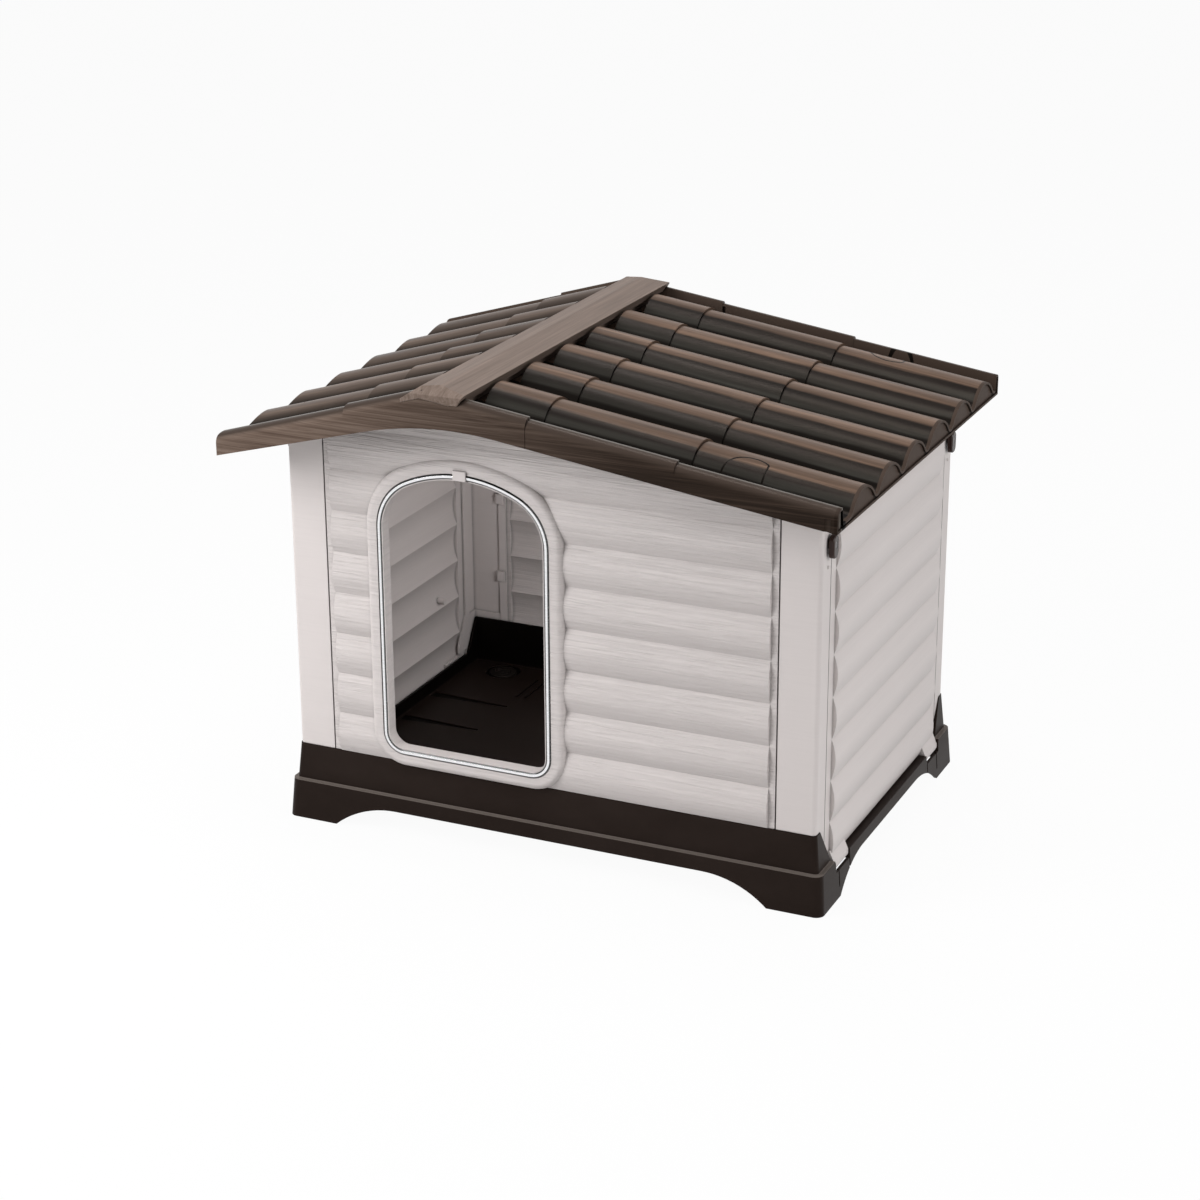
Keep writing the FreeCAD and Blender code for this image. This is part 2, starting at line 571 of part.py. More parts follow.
def plain_gable():
    """Rear-type panel on the door side of the house, before any opening."""
    edge = POST_FRONT_X - SEAM_GAP / 2
    run = edge - BOARD_MARGIN
    low = BAND_TOP + FIT_GAP
    tongue_out = BAND_IN_Y - FIT_GAP
    tongue_x = edge - POST_FLANGE - FIT_GAP
    sheet = box(-edge, edge, -WALL_Y, WALL_T - WALL_Y, low, FAR)
    boards = siding(0, BOARDS, WALL_Y, -run, run, lambda x, d, z: Vector(x, -d, z))
    boards = boards.common(box(-run, run, -WALL_Y - 2 * BULGE, 0, low, FAR))
    top = BOARD_Z + BOARDS * BOARD_PITCH
    behind = box(-run + CAP_T, run - CAP_T, -WALL_Y - 1, WALL_T - WALL_Y + 1, low, top)
    tongue = box(-tongue_x, tongue_x, -tongue_out, WALL_T - tongue_out, FLOOR_Z + FIT_GAP, low + WALL_T)
    return join(sheet.cut(behind), boards, tongue).common(gable_trim())


def door_outline(out, y):
    """Closed wire of the door's shape, grown by out, at depth y."""
    half = DOOR_HALF + out
    low = DOOR_BOTTOM - out
    high = DOOR_TOP + out
    r = DOOR_BOTTOM_R + out
    shoulder = DOOR_SHOULDER_R + out
    crown = DOOR_CROWN_R + out
    centre_x = half - shoulder
    centre_z = high - crown + math.sqrt((crown - shoulder) ** 2 - centre_x ** 2)
    tilt = math.asin(centre_x / (crown - shoulder))
    join_x, join_z = crown * math.sin(tilt), high - crown + crown * math.cos(tilt)
    mid_turn = (tilt + math.pi / 2) / 2
    mid_x = centre_x + shoulder * math.sin(mid_turn)
    mid_z = centre_z + shoulder * math.cos(mid_turn)
    k = r * (1 - math.sqrt(0.5))

    def at(x, z):
        return Vector(DOOR_X + x, y, z)
    line = Part.LineSegment
    edges = [arc(at(-join_x, join_z), at(0, high), at(join_x, join_z)),
             arc(at(join_x, join_z), at(mid_x, mid_z), at(half, centre_z)),
             line(at(half, centre_z), at(half, low + r)).toShape(),
             arc(at(half, low + r), at(half - k, low + k), at(half - r, low)),
             line(at(half - r, low), at(r - half, low)).toShape(),
             arc(at(r - half, low), at(k - half, low + k), at(-half, low + r)),
             line(at(-half, low + r), at(-half, centre_z)).toShape(),
             arc(at(-half, centre_z), at(-mid_x, mid_z), at(-join_x, join_z))]
    return Part.Wire(edges)


def door_block(out, y0, y1):
    return Part.Face(door_outline(out, y0)).extrude(Vector(0, y1 - y0, 0))


def front_panel():
    face_y = -WALL_Y - SURROUND_PROUD
    back_y = WALL_T - WALL_Y + SURROUND_BACK
    surround = door_block(SURROUND_W, face_y, back_y)
    front_edges = [e for e in surround.Edges if abs(e.BoundBox.YMax - face_y) < FIT_GAP]
    surround = surround.makeFillet(SURROUND_ROUND, front_edges)
    band_room = box(-FAR, FAR, -WALL_Y - BAND_PROUD - 1, FIT_GAP - BAND_IN_Y, 0, BAND_TOP + FIT_GAP)
    hidden = box(-FAR, FAR, FIT_GAP - BAND_IN_Y - 1, 0, 0, BAND_TOP + FIT_GAP)
    surround = surround.cut([band_room, hidden])
    groove_in = -STRIP_W - STRIP_GROOVE_IN
    groove = door_block(STRIP_GROOVE, face_y - 1, face_y + STRIP_GROOVE_DEPTH)
    groove = groove.cut(door_block(groove_in, face_y - 2, 0))
    opening = door_block(groove_in - DOOR_RIM, face_y - 1, back_y + 1)
    return plain_gable().fuse(surround).cut([groove, opening]).removeSplitter()


def rear_panel():
    return mirror_y(plain_gable())


def door_edge_strip():
    """Bevelled metal strip that lies in the groove round the door opening."""
    face_y = -WALL_Y - SURROUND_PROUD
    top = face_y - STRIP_PROUD
    seat = face_y + STRIP_GROOVE_DEPTH - FIT_GAP
    ring = door_block(0, top, seat).cut(door_block(-STRIP_W, top - 1, seat + 1))
    edges = [e for e in ring.Edges if abs(e.BoundBox.YMax - top) < FIT_GAP / 2]
    return ring.makeChamfer(STRIP_CHAMFER, edges)


def strip_clip():
    """Cover that bridges the strip's joint at the top of the door."""
    face_y = -WALL_Y - SURROUND_PROUD
    top = face_y - STRIP_PROUD - FIT_GAP
    slab = box(DOOR_X - CLIP_W / 2, DOOR_X + CLIP_W / 2, top - CLIP_T, top, DOOR_TOP - STRIP_W - CLIP_T,
               DOOR_TOP + STRIP_GROOVE + CLIP_OVER)
    foot = box(DOOR_X - CLIP_W / 2, DOOR_X + CLIP_W / 2, top - CLIP_T, face_y - FIT_GAP / 2,
               DOOR_TOP + STRIP_GROOVE + FIT_GAP, DOOR_TOP + STRIP_GROOVE + CLIP_OVER)
    clip = join(slab, foot)
    edges = [e for e in clip.Edges if abs(e.BoundBox.YMax - (top - CLIP_T)) < FIT_GAP / 2]
    return clip.makeChamfer(CLIP_T / 3, edges)


def side_panel(top_z):
    """Side wall on the right, with the lugs and pins that seat in the sill."""
    edge = SIDE_EDGE_Y
    run = edge - SIDE_MARGIN
    span = box(0, FAR, -edge, edge, SIDE_BOTTOM_Z, top_z)
    sheet = box(WALL_X - WALL_T, WALL_X, -edge, edge, SIDE_BOTTOM_Z, top_z)
    behind = box(WALL_X - WALL_T - 1, WALL_X + 1, -run + CAP_T, run - CAP_T, 0, FAR)
    boards = siding(-1, 9, WALL_X, -run, run, lambda y, d, z: Vector(d, y, z)).common(span)
    panel = join(sheet.cut(behind), boards)
    web = [(WALL_X - WALL_T, SIDE_BOTTOM_Z + 3 * WALL_T), (WALL_X + BULGE / 2, SIDE_BOTTOM_Z + 3 * WALL_T),
           (HINGE_X + HINGE_HUB_R, HINGE_Z + HINGE_HUB_R), (HINGE_X + HINGE_HUB_R, HINGE_Z),
           (HINGE_X - HINGE_HUB_R, HINGE_Z), (WALL_X - WALL_T, SIDE_BOTTOM_Z - FIT_GAP)]
    for end in (-1, 1):
        low = min(end * (NOTCH_IN_Y + FIT_GAP), end * (GUSSET_FOOT_Y - FIT_GAP))
        high = max(end * (NOTCH_IN_Y + FIT_GAP), end * (GUSSET_FOOT_Y - FIT_GAP))
        lug = prism_y(web, low, high).fuse(rod_y(HINGE_HUB_R, low, high, HINGE_X, HINGE_Z))
        pin = rod_y(HINGE_PIN_R, low - HINGE_PIN_L, high + HINGE_PIN_L, HINGE_X, HINGE_Z)
        panel = join(panel, lug, pin)
    corners = []
    for end in (-1, 1):
        clear = SEAM_GAP
        outline = [(end * (gusset_y(SILL_Z) - clear), SILL_Z), (end * (gusset_y(BAND_TOP) - clear), BAND_TOP),
                   (end * FAR, BAND_TOP), (end * FAR, SILL_Z)]
        corners.append(prism_x(outline, 0, FAR))
    return panel.cut(corners).removeSplitter()


def right_side_panel():
    return side_panel(SIDE_TOP_Z)


def left_side_panel():
    """Same moulding on the left, cut to the height under that roof slope."""
    top = left_lip(-WALL_X - BULGE) - VALLEY - ROOF_T - FIT_GAP
    peg = rod_x(PEG_R, WALL_X - PEG_L, WALL_X, PEG_Y, PEG_Z)
    return mirror_x(join(side_panel(top), peg))


def shelf_height(side):
    """Top of the screw shelf in the posts on one side."""
    lip = left_lip(-SCREW_X) if side < 0 else right_lip(SCREW_X)
    return lip - VALLEY - ROOF_T - SHELF_DROP


def corner_post(side, end):
    """L-shaped corner post. side is -1 on the left, end is -1 at the door side."""
    top = FAR
    seam_x, seam_y = POST_FRONT_X + SEAM_GAP / 2, POST_SIDE_Y
    low = FLOOR_Z + FIT_GAP
    front = box(seam_x, WALL_X, -WALL_Y, WALL_T - WALL_Y, low, top)
    flank = box(WALL_X - WALL_T, WALL_X, -WALL_Y, -seam_y, low, top)
    shell = front.fuse(flank).removeSplitter()
    corner = [e for e in shell.Edges if e.BoundBox.ZLength > BOARD_PITCH
              and abs(e.BoundBox.XMax - WALL_X) < FIT_GAP and abs(e.BoundBox.YMin + WALL_Y) < FIT_GAP]
    shell = shell.makeFillet(POST_CORNER_R, corner)
    back = WALL_T - WALL_Y + FIT_GAP
    hook_front = box(seam_x - POST_FLANGE - SEAM_GAP, seam_x + WALL_T, back, back + POST_FLANGE_T, low, top)
    link_front = box(seam_x, seam_x + WALL_T, WALL_T - WALL_Y - 1, back + POST_FLANGE_T, low, top)
    inside = WALL_X - WALL_T - POST_FLANGE_GAP
    hook_side = box(inside - POST_FLANGE_T, inside, -seam_y - WALL_T, -seam_y + POST_FLANGE + SEAM_GAP, low, top)
    link_side = box(inside - POST_FLANGE_T, WALL_X - WALL_T + 1, -seam_y - WALL_T, -seam_y, low, top)
    foot_x, foot_y = BAND_IN_X - FIT_GAP, BAND_IN_Y - FIT_GAP
    foot_front = box(seam_x + WALL_T, foot_x, -foot_y, POST_FOOT_T - foot_y, low, POST_FOOT_TOP)
    foot_side = box(foot_x - POST_FOOT_T, foot_x, -foot_y, -seam_y - WALL_T, low, POST_FOOT_TOP)
    flange_end = POST_FLANGE + SEAM_GAP - seam_y
    plate = [(flange_end - 1, GUSSET_PLATE_TOP), (flange_end, GUSSET_PLATE_TOP), (-GUSSET_PLATE_Y, GUSSET_PLATE_MID),
             (-GUSSET_PLATE_Y, GUSSET_PLATE_LOW), (flange_end - 1, GUSSET_PLATE_LOW)]
    post = join(shell, hook_front, link_front, hook_side, link_side, foot_front, foot_side)
    if side < 0:
        post = join(post, prism_x(plate, inside - POST_FLANGE_T, inside))
    edge = BAND_TOP + FIT_GAP
    slant = [(-FAR, edge), (SEAM_GAP / 2 - gusset_y(edge), edge), (SEAM_GAP / 2 - GUSSET_FOOT_Y, SILL_Z),
             (SEAM_GAP / 2 - GUSSET_FOOT_Y, 0), (-FAR, 0)]
    cuts = [box(0, FAR, -FAR, -foot_y, 0, edge), prism_x(slant, foot_x, FAR),
            box(foot_x, FAR, -FAR, 0, 0, SILL_Z + FIT_GAP)]
    shelf_z = shelf_height(side)
    shelf = box(SCREW_X - SHELF_REACH, WALL_X - 1, 1 - WALL_Y, SHELF_REACH - SCREW_Y, shelf_z - SHELF_T, shelf_z)
    post = join(post, shelf)
    cuts.append(rod_z(SCREW_R + FIT_GAP, 0, FAR, SCREW_X, -SCREW_Y))
    for z in (CATCH_LOW_Z, CATCH_HIGH_Z):
        catch_y = back + POST_FLANGE_T
        catch = box(seam_x - POST_FLANGE, seam_x - POST_FLANGE + CATCH_W, catch_y - 1, catch_y + CATCH_T,
                    z - CATCH_H / 2, z + CATCH_H / 2)
        post = join(post, catch)
    if side > 0:
        boss_in = WALL_X - WALL_T - LATCH_BOSS_L
        post = join(post, rod_x(LATCH_BOSS_R, boss_in, WALL_X - 1, -LATCH_Y, LATCH_Z))
        nub = Part.makeCone(NUB_R, NUB_TOP_R, NUB_H + 1, Vector(WALL_X - 1, -NUB_Y, LATCH_Z - NUB_DROP), X_AXIS)
        post = join(post, nub)
        cuts.append(rod_x(LATCH_SCREW_R + FIT_GAP, boss_in + LATCH_HEAD_T, FAR, -LATCH_Y, LATCH_Z))
    post = post.cut(cuts)
    if side < 0:
        post = mirror_x(post)
    if end > 0:
        post = mirror_y(post)
    return post.common(gable_trim()).removeSplitter()


# ---------------------------------------------------------------- latches
def latch(end):
    """Turn latch on its screw. end is -1 at the door side."""
    y = end * LATCH_Y
    x0 = WALL_X + LATCH_STAND
    x1 = x0 + LATCH_T
    top_z, tip_z = LATCH_Z + LATCH_UP, LATCH_Z - LATCH_DOWN
    arm = join(rod_x(LATCH_R, x0, x1, y, top_z), rod_x(LATCH_R, x0, x1, y, tip_z),
               box(x0, x1, y - LATCH_R, y + LATCH_R, tip_z, top_z))
    rim = [e for e in arm.Edges if abs(e.BoundBox.XMin - x1) < FIT_GAP]
    arm = join(arm.makeChamfer(LATCH_CHAMFER, rim), rod_x(LATCH_HUB_R, WALL_X + LATCH_GAP, x0 + 1, y, LATCH_Z))
    head_room = rod_x(LATCH_HEAD_R + FIT_GAP, x1 - LATCH_HEAD_T - FIT_GAP, FAR, y, LATCH_Z)
    return arm.cut([head_room, rod_x(LATCH_SCREW_R + FIT_GAP, 0, FAR, y, LATCH_Z)])


def latch_screw(end):
    y = end * LATCH_Y
    x1 = WALL_X + LATCH_STAND + LATCH_T
    tip = WALL_X - WALL_T - LATCH_BOSS_L + 2 * LATCH_HEAD_T
    shank = rod_x(LATCH_SCREW_R, tip, x1 - 1, y, LATCH_Z)
    head = rod_x(LATCH_HEAD_R, x1 - LATCH_HEAD_T, x1 - FIT_GAP, y, LATCH_Z)
    arm = LATCH_HEAD_R * 0.7
    bar = box(x1 - 1, FAR, y - arm, y + arm, LATCH_Z - FIT_GAP, LATCH_Z + FIT_GAP)
    cross = box(x1 - 1, FAR, y - FIT_GAP, y + FIT_GAP, LATCH_Z - arm, LATCH_Z + arm)
    return join(shank, head).cut([bar, cross])


# ---------------------------------------------------------------- roof
def tile_columns():
    return [(i - (TILES - 1) / 2) * TILE_PITCH for i in range(TILES)]


def tile_arcs(y, floor, inset):
    """One tile as three arcs in y, z: up out of the valley, over the crest and down."""
    half = TILE_PITCH / 2
    crest_r = (half ** 2 + TILE_RISE ** 2 - 2 * VALLEY_R * TILE_RISE) / (2 * TILE_RISE)
    crest_z = floor + inset + TILE_RISE - crest_r
    valley_z = floor + inset + VALLEY_R
    reach = crest_r + VALLEY_R
    out_y, out_z = half / reach, (valley_z - crest_z) / reach
    r, v = crest_r - inset, VALLEY_R + inset
    join_y, join_z = out_y * r, crest_z + out_z * r
    lean = math.hypot(out_y, out_z + 1)
    mid_y, mid_z = half - v * out_y / lean, valley_z - v * (out_z + 1) / lean
    return [((y - half, floor), (y - mid_y, mid_z), (y - join_y, join_z)),
            ((y - join_y, join_z), (y, crest_z + r), (y + join_y, join_z)),
            ((y + join_y, join_z), (y + mid_y, mid_z), (y + half, floor))]


def roof_section(x, lift_z, inset, tiled):
    """Closed wire in the plane x: lips, valleys and tiles above a deep base.

    inset is zero for the outside and the sheet thickness for the inside.
    """
    lip = lift_z - inset
    floor = lift_z - VALLEY - inset
    front = -ROOF_FRONT + inset
    rear = ROOF_REAR - inset
    base = lift_z - GABLE_OVERLAP

    def at(y, z):
        return Vector(x, y, z)

    def lip_points(edge, sign, r, crest):
        r = max(r - inset, 1.0)
        k = r * (1 - math.sqrt(0.5))
        inner = edge + sign * (r + crest)
        foot = inner + sign * LIP_DROP_W
        return ((edge, lip - r), (edge + sign * k, lip - k), (edge + sign * r, lip), (inner, lip), (foot, floor))
    a = lip_points(front, 1, LIP_ROUND, LIP_CREST)
    b = lip_points(rear, -1, REAR_LIP_ROUND, REAR_LIP_CREST)
    line = Part.LineSegment
    edges = [line(at(front, base), at(*a[0])).toShape(), arc(at(*a[0]), at(*a[1]), at(*a[2])),
             line(at(*a[2]), at(*a[3])).toShape(), line(at(*a[3]), at(*a[4])).toShape()]
    here = at(*a[4])
    if tiled:
        for y in tile_columns():
            for start, middle, stop in tile_arcs(y, floor, inset):
                if (here - at(*start)).Length > SMALL:
                    edges.append(line(here, at(*start)).toShape())
                edges.append(arc(at(*start), at(*middle), at(*stop)))
                here = at(*stop)
    if (here - at(*b[4])).Length > SMALL:
        edges.append(line(here, at(*b[4])).toShape())
    edges += [line(at(*b[4]), at(*b[3])).toShape(), line(at(*b[3]), at(*b[2])).toShape(),
              arc(at(*b[2]), at(*b[1]), at(*b[0])), line(at(*b[0]), at(rear, base)).toShape(),
              line(at(rear, base), at(front, base)).toShape()]
    return Part.Wire(edges)


def row_block(x0, x1, lip_line, lift, inset, tiled):
    """One row of tiles as a filled block from x0 to x1."""
    z0, z1 = lip_line(x0) + lift, lip_line(x1) + lift
    face = Part.Face(roof_section(x0, z0, inset, tiled))
    return face.extrude(Vector(x1 - x0, 0, z1 - z0))


def step_groove(x0, lip_line, lift, side):
    """Fine groove at the foot of a row's step. side is -1 where the row lies to the left."""
    x1 = x0 + side * ROW_GROOVE_W
    low, high = min(x0, x1), max(x0, x1)
    skin = row_block(low, high, lip_line, lift, 0, True).common(box(low, high, FIELD_FRONT, FIELD_REAR, 0, FAR))
    return skin.cut(row_block(low - GRIP, high + GRIP, lip_line, lift, ROW_GROOVE_DEPTH, True))


def soffit_block(drop):
    """All below the edge boards' underside: two slopes joined by the crown curve."""
    left_z0 = LEFT_SOFFIT_Z - drop
    right_z0 = RIGHT_SOFFIT_Z - drop
    meet = (right_z0 + RIGHT_SOFFIT * ROOF_RIGHT - left_z0 - LEFT_SOFFIT * ROOF_LEFT) / (LEFT_SOFFIT + RIGHT_SOFFIT)
    run_left = ARCH_TANGENT * math.cos(math.atan(LEFT_SOFFIT))
    run_right = ARCH_TANGENT * math.cos(math.atan(RIGHT_SOFFIT))

    def left_z(x):
        return left_z0 + LEFT_SOFFIT * (x + ROOF_LEFT)

    def right_z(x):
        return right_z0 + RIGHT_SOFFIT * (ROOF_RIGHT - x)
    a_x, b_x = meet - run_left, meet + run_right
    turn = math.atan(LEFT_SOFFIT) + math.atan(RIGHT_SOFFIT)
    r = ARCH_TANGENT / math.tan(turn / 2)
    lean = (math.atan(LEFT_SOFFIT) - math.atan(RIGHT_SOFFIT)) / 2
    lower = r * (1 / math.cos(turn / 2) - 1)
    crown = (meet + lower * math.sin(lean), left_z(meet) - lower * math.cos(lean))

    def at(x, z):
        return Vector(x, -FAR, z)
    line = Part.LineSegment
    start, stop = at(-FAR, left_z(-FAR)), at(FAR, right_z(FAR))
    a, b = at(a_x, left_z(a_x)), at(b_x, right_z(b_x))
    edges = [line(start, a).toShape(), arc(a, at(*crown), b), line(b, stop).toShape(),
             line(stop, at(FAR, -FAR)).toShape(), line(at(FAR, -FAR), at(-FAR, -FAR)).toShape(),
             line(at(-FAR, -FAR), start).toShape()]
    return Part.Face(Part.Wire(edges)).extrude(Vector(0, 2 * FAR, 0))


def cover_plan(end, grow):
    """Upright half-moon block: end -1 is the door side."""
    y = end * (COVER_FRONT_Y if end < 0 else COVER_REAR_Y)
    moon = rod_z(COVER_R + grow, 0, FAR, COVER_X, y)
    front_limit, rear_limit = FIELD_FRONT + COVER_LIP_GAP, FIELD_REAR - COVER_LIP_GAP
    return moon.common(box(0, COVER_CUT_X + grow, front_limit - grow, rear_limit + grow, RIGHT_SOFFIT_Z, FAR))


def roof_bosses(side):
    """Round bosses under the tiles that take the roof screws."""
    lip = left_lip(-SCREW_X) if side < 0 else right_lip(SCREW_X)
    low = shelf_height(side) + FIT_GAP
    bosses = []
    for end in (-1, 1):
        boss = rod_z(ROOF_BOSS_R, low, lip + ROOF_T / 2, side * SCREW_X, end * SCREW_Y)
        bosses.append(boss.cut(rod_z(SCREW_R + FIT_GAP, low, low + SCREW_L, side * SCREW_X, end * SCREW_Y)))
    return bosses


def flute():
    """Upright hollow near the right end of the front edge board."""
    return rod_z(FLUTE_R, 0, right_lip(FLUTE_X) - LIP_ROUND, FLUTE_X, FLUTE_DEPTH - FLUTE_R - ROOF_FRONT)


def roof_right():
    """Right slope, second and third rows, with a tongue under the left shell."""
    start = RIGHT_ROW_1 + SHELL_GAP
    outer = join(row_block(start, RIGHT_ROW_2, right_lip, ROW_STEP, 0, True),
                 row_block(RIGHT_ROW_2, ROOF_RIGHT, right_lip, 0, 0, True))
    plate_out = ROOF_RIGHT - EAVE_PLATE_INSET
    plate_in = plate_out - ROOF_T
    inner = join(row_block(start + ROOF_T, RIGHT_ROW_2 - ROOF_T, right_lip, ROW_STEP, ROOF_T, True),
                 row_block(RIGHT_ROW_2 - ROOF_T, plate_in, right_lip, 0, ROOF_T, True))
    recess = row_block(plate_out, ROOF_RIGHT + GRIP, right_lip, 0, ROOF_T, True)
    recess = recess.common(box(plate_out, FAR, -FAR, FAR, RIGHT_SOFFIT_Z + ROOF_T, FAR))
    back = RIGHT_ROW_1 - TUCK
    lap = row_block(back, start + ROOF_T, right_lip, 2 * ROW_STEP, ROOF_T + FIT_GAP, True)
    through = row_block(back - GRIP, start + ROOF_T + GRIP, right_lip, 2 * ROW_STEP, 2 * ROOF_T + FIT_GAP, True)
    shell = outer.cut([inner, recess, step_groove(RIGHT_ROW_2, right_lip, 0, 1)]).fuse(lap).cut(through)
    shell = shell.cut([soffit_block(0), flute(), cover_plan(-1, COVER_GAP), cover_plan(1, COVER_GAP)])
    return shell.multiFuse(roof_bosses(1)).removeSplitter()


def roof_cover(end):
    """Half-moon cover, flush with the tile and the valley beside it."""
    sheet = row_block(RIGHT_ROW_2, ROOF_RIGHT, right_lip, 0, 0, True)
    sheet = sheet.cut(row_block(RIGHT_ROW_2 - 1, ROOF_RIGHT + 1, right_lip, 0, ROOF_T, True))
    return sheet.common(cover_plan(end, 0)).removeSplitter()


def left_tile_ends(inset):
    """Block above the slanted ends of the left tiles, between the lips."""
    low_x = LEFT_TILE_X + inset
    high_x = low_x + LEFT_TILE_SLANT
    low_z = left_lip(low_x) - VALLEY - inset
    high_z = left_lip(high_x) - VALLEY + TILE_RISE - inset
    outline = [(low_x - GABLE_OVERLAP, low_z), (low_x, low_z), (high_x, high_z + SMALL),
               (high_x + LEFT_TILE_SLANT, high_z + 2 * TILE_RISE), (low_x - GABLE_OVERLAP, high_z + 2 * TILE_RISE)]
    return prism_y(outline, FIELD_FRONT, FIELD_REAR)


def left_rows(inset):
    """All rows of the left shell as one filled block, or the hollow inside it."""
    end = RIGHT_ROW_1 + (GRIP if inset else 0)
    low = join(row_block(inset - ROOF_LEFT, LEFT_TILE_X + inset, left_lip, 0, inset, False),
               row_block(LEFT_TILE_X + inset, LEFT_ROW_X + inset, left_lip, 0, inset, True))
    return join(low.cut(left_tile_ends(inset)),
                row_block(LEFT_ROW_X + inset, LEFT_RIDGE_X - inset, left_lip, ROW_STEP, inset, True),
                row_block(LEFT_RIDGE_X - inset, RIDGE_X, left_lip, ROW_STEP, inset, False),
                row_block(RIDGE_X, RIGHT_RIDGE_X + inset, right_lip, 2 * ROW_STEP, inset, False),
                row_block(RIGHT_RIDGE_X + inset, end, right_lip, 2 * ROW_STEP, inset, True))


def eave_corner():
    """Material outside the rounded upper corner of the left edge boards."""
    x, z = EAVE_CORNER_R - ROOF_LEFT, left_lip(EAVE_CORNER_R - ROOF_LEFT) - EAVE_CORNER_R
    block = box(-ROOF_LEFT - 1, x, -FAR, FAR, z, z + 2 * EAVE_CORNER_R)
    return block.cut(rod_y(EAVE_CORNER_R, -FAR, FAR, x, z))


def roof_left():
    """Left slope, ridge zone and the first row of the right slope in one shell."""
    shell = left_rows(0).cut(left_rows(ROOF_T))
    shell = shell.cut([soffit_block(0), eave_corner(), step_groove(LEFT_ROW_X, left_lip, 0, -1)])
    return shell.multiFuse(roof_bosses(-1)).removeSplitter()


def ridge_end(sign, edge, length):
    """Block above the beam's sloping end."""
    top = RIDGE_CREST_Z + GRIP
    outline = [(edge + sign * GRIP, RIDGE_END_Z), (edge - sign * length, top), (edge + sign * FAR, top),
               (edge + sign * FAR, RIDGE_END_Z)]
    return prism_x(outline, -FAR, FAR)


def ridge_cap():
    """Hollow beam over the ridge: over the lips at its ends, down to the sheet between them."""
    skirt_x = RIDGE_RIGHT_X - RIDGE_SKIRT_INSET
    low = RIDGE_RIGHT_Z - VALLEY
    outline = [(RIDGE_LEFT_X, low), (RIDGE_LEFT_X, RIDGE_LEFT_Z), (RIDGE_LEFT_SHOULDER_X, RIDGE_LEFT_SHOULDER_Z),
               (RIDGE_CREST_X, RIDGE_CREST_Z), (RIDGE_RIGHT_SHOULDER_X, RIDGE_RIGHT_SHOULDER_Z),
               (RIDGE_RIGHT_X, RIDGE_RIGHT_Z), (skirt_x, RIDGE_RIGHT_Z), (skirt_x, low)]
    t = RIDGE_T
    hollow = [(RIDGE_LEFT_X + 2 * t, low - 1), (RIDGE_LEFT_X + 2 * t, RIDGE_LEFT_Z - t),
              (RIDGE_LEFT_SHOULDER_X + t, RIDGE_LEFT_SHOULDER_Z - t), (RIDGE_CREST_X, RIDGE_CREST_Z - t),
              (skirt_x - t, RIDGE_RIGHT_SHOULDER_Z - t), (skirt_x - t, low - 1)]
    beam = prism_y(outline, -ROOF_FRONT, ROOF_REAR)
    beam = beam.cut(prism_y(hollow, FIELD_FRONT + t, FIELD_REAR - t))
    seat = [row_block(LEFT_ROW_X, LEFT_RIDGE_X + FIT_GAP, left_lip, ROW_STEP, -FIT_GAP, True),
            row_block(LEFT_RIDGE_X, RIDGE_X, left_lip, ROW_STEP, -FIT_GAP, False),
            row_block(RIDGE_X, RIGHT_ROW_1, right_lip, 2 * ROW_STEP, -FIT_GAP, False)]
    ends = [ridge_end(-1, -ROOF_FRONT, RIDGE_END_FRONT), ridge_end(1, ROOF_REAR, RIDGE_END_REAR)]
    return beam.cut(seat + ends).removeSplitter()


def roof_screw(side, end):
    top = shelf_height(side) - SHELF_T - FIT_GAP
    x, y = side * SCREW_X, end * SCREW_Y
    head = rod_z(SCREW_HEAD_R, top - SCREW_HEAD_T, top, x, y)
    return join(head, rod_z(SCREW_R, top - 1, top + SCREW_L, x, y))


# ---------------------------------------------------------------- export
def build():
    save("base_tray", base_tray())
    save("drain_plug", drain_plug())
    save("front_panel", front_panel())
    save("rear_panel", rear_panel())
    save("left_side_panel", left_side_panel())
    save("right_side_panel", right_side_panel())
    for side, side_name in ((-1, "left"), (1, "right")):
        for end, end_name in ((-1, "front"), (1, "rear")):
            save("corner_post_" + end_name + "_" + side_name, corner_post(side, end))
    save("door_edge_strip", door_edge_strip())
    save("strip_clip", strip_clip())
    save("roof_left", roof_left())
    save("roof_right", roof_right())
    save("roof_cover_front", roof_cover(-1))
    save("roof_cover_rear", roof_cover(1))
    save("latch_front", latch(-1))
    save("latch_rear", latch(1))
    save("latch_screws", latch_screw(-1), latch_screw(1))
    save("ridge_cap", ridge_cap())
    save("roof_screws", *[roof_screw(side, end) for side in (-1, 1) for end in (-1, 1)])


build()
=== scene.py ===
import math

import bpy
from mathutils import Matrix, Vector


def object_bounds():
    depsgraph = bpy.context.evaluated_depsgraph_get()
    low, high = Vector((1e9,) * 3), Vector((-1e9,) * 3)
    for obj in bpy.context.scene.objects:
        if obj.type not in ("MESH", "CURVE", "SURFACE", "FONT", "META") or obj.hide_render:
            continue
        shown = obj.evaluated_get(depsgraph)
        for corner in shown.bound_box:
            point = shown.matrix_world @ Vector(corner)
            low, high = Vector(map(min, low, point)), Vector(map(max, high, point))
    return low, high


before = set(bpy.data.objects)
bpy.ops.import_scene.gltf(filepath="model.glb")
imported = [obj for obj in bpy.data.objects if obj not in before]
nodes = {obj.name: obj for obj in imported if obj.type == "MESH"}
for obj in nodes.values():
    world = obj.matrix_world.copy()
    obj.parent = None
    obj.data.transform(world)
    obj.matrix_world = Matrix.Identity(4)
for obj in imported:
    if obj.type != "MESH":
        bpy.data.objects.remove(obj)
cad_low, cad_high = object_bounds()

TRAY_MIDDLE = Vector((0.005, 0.015, 0.0))
WHITE = (1.0, 1.0, 1.0)

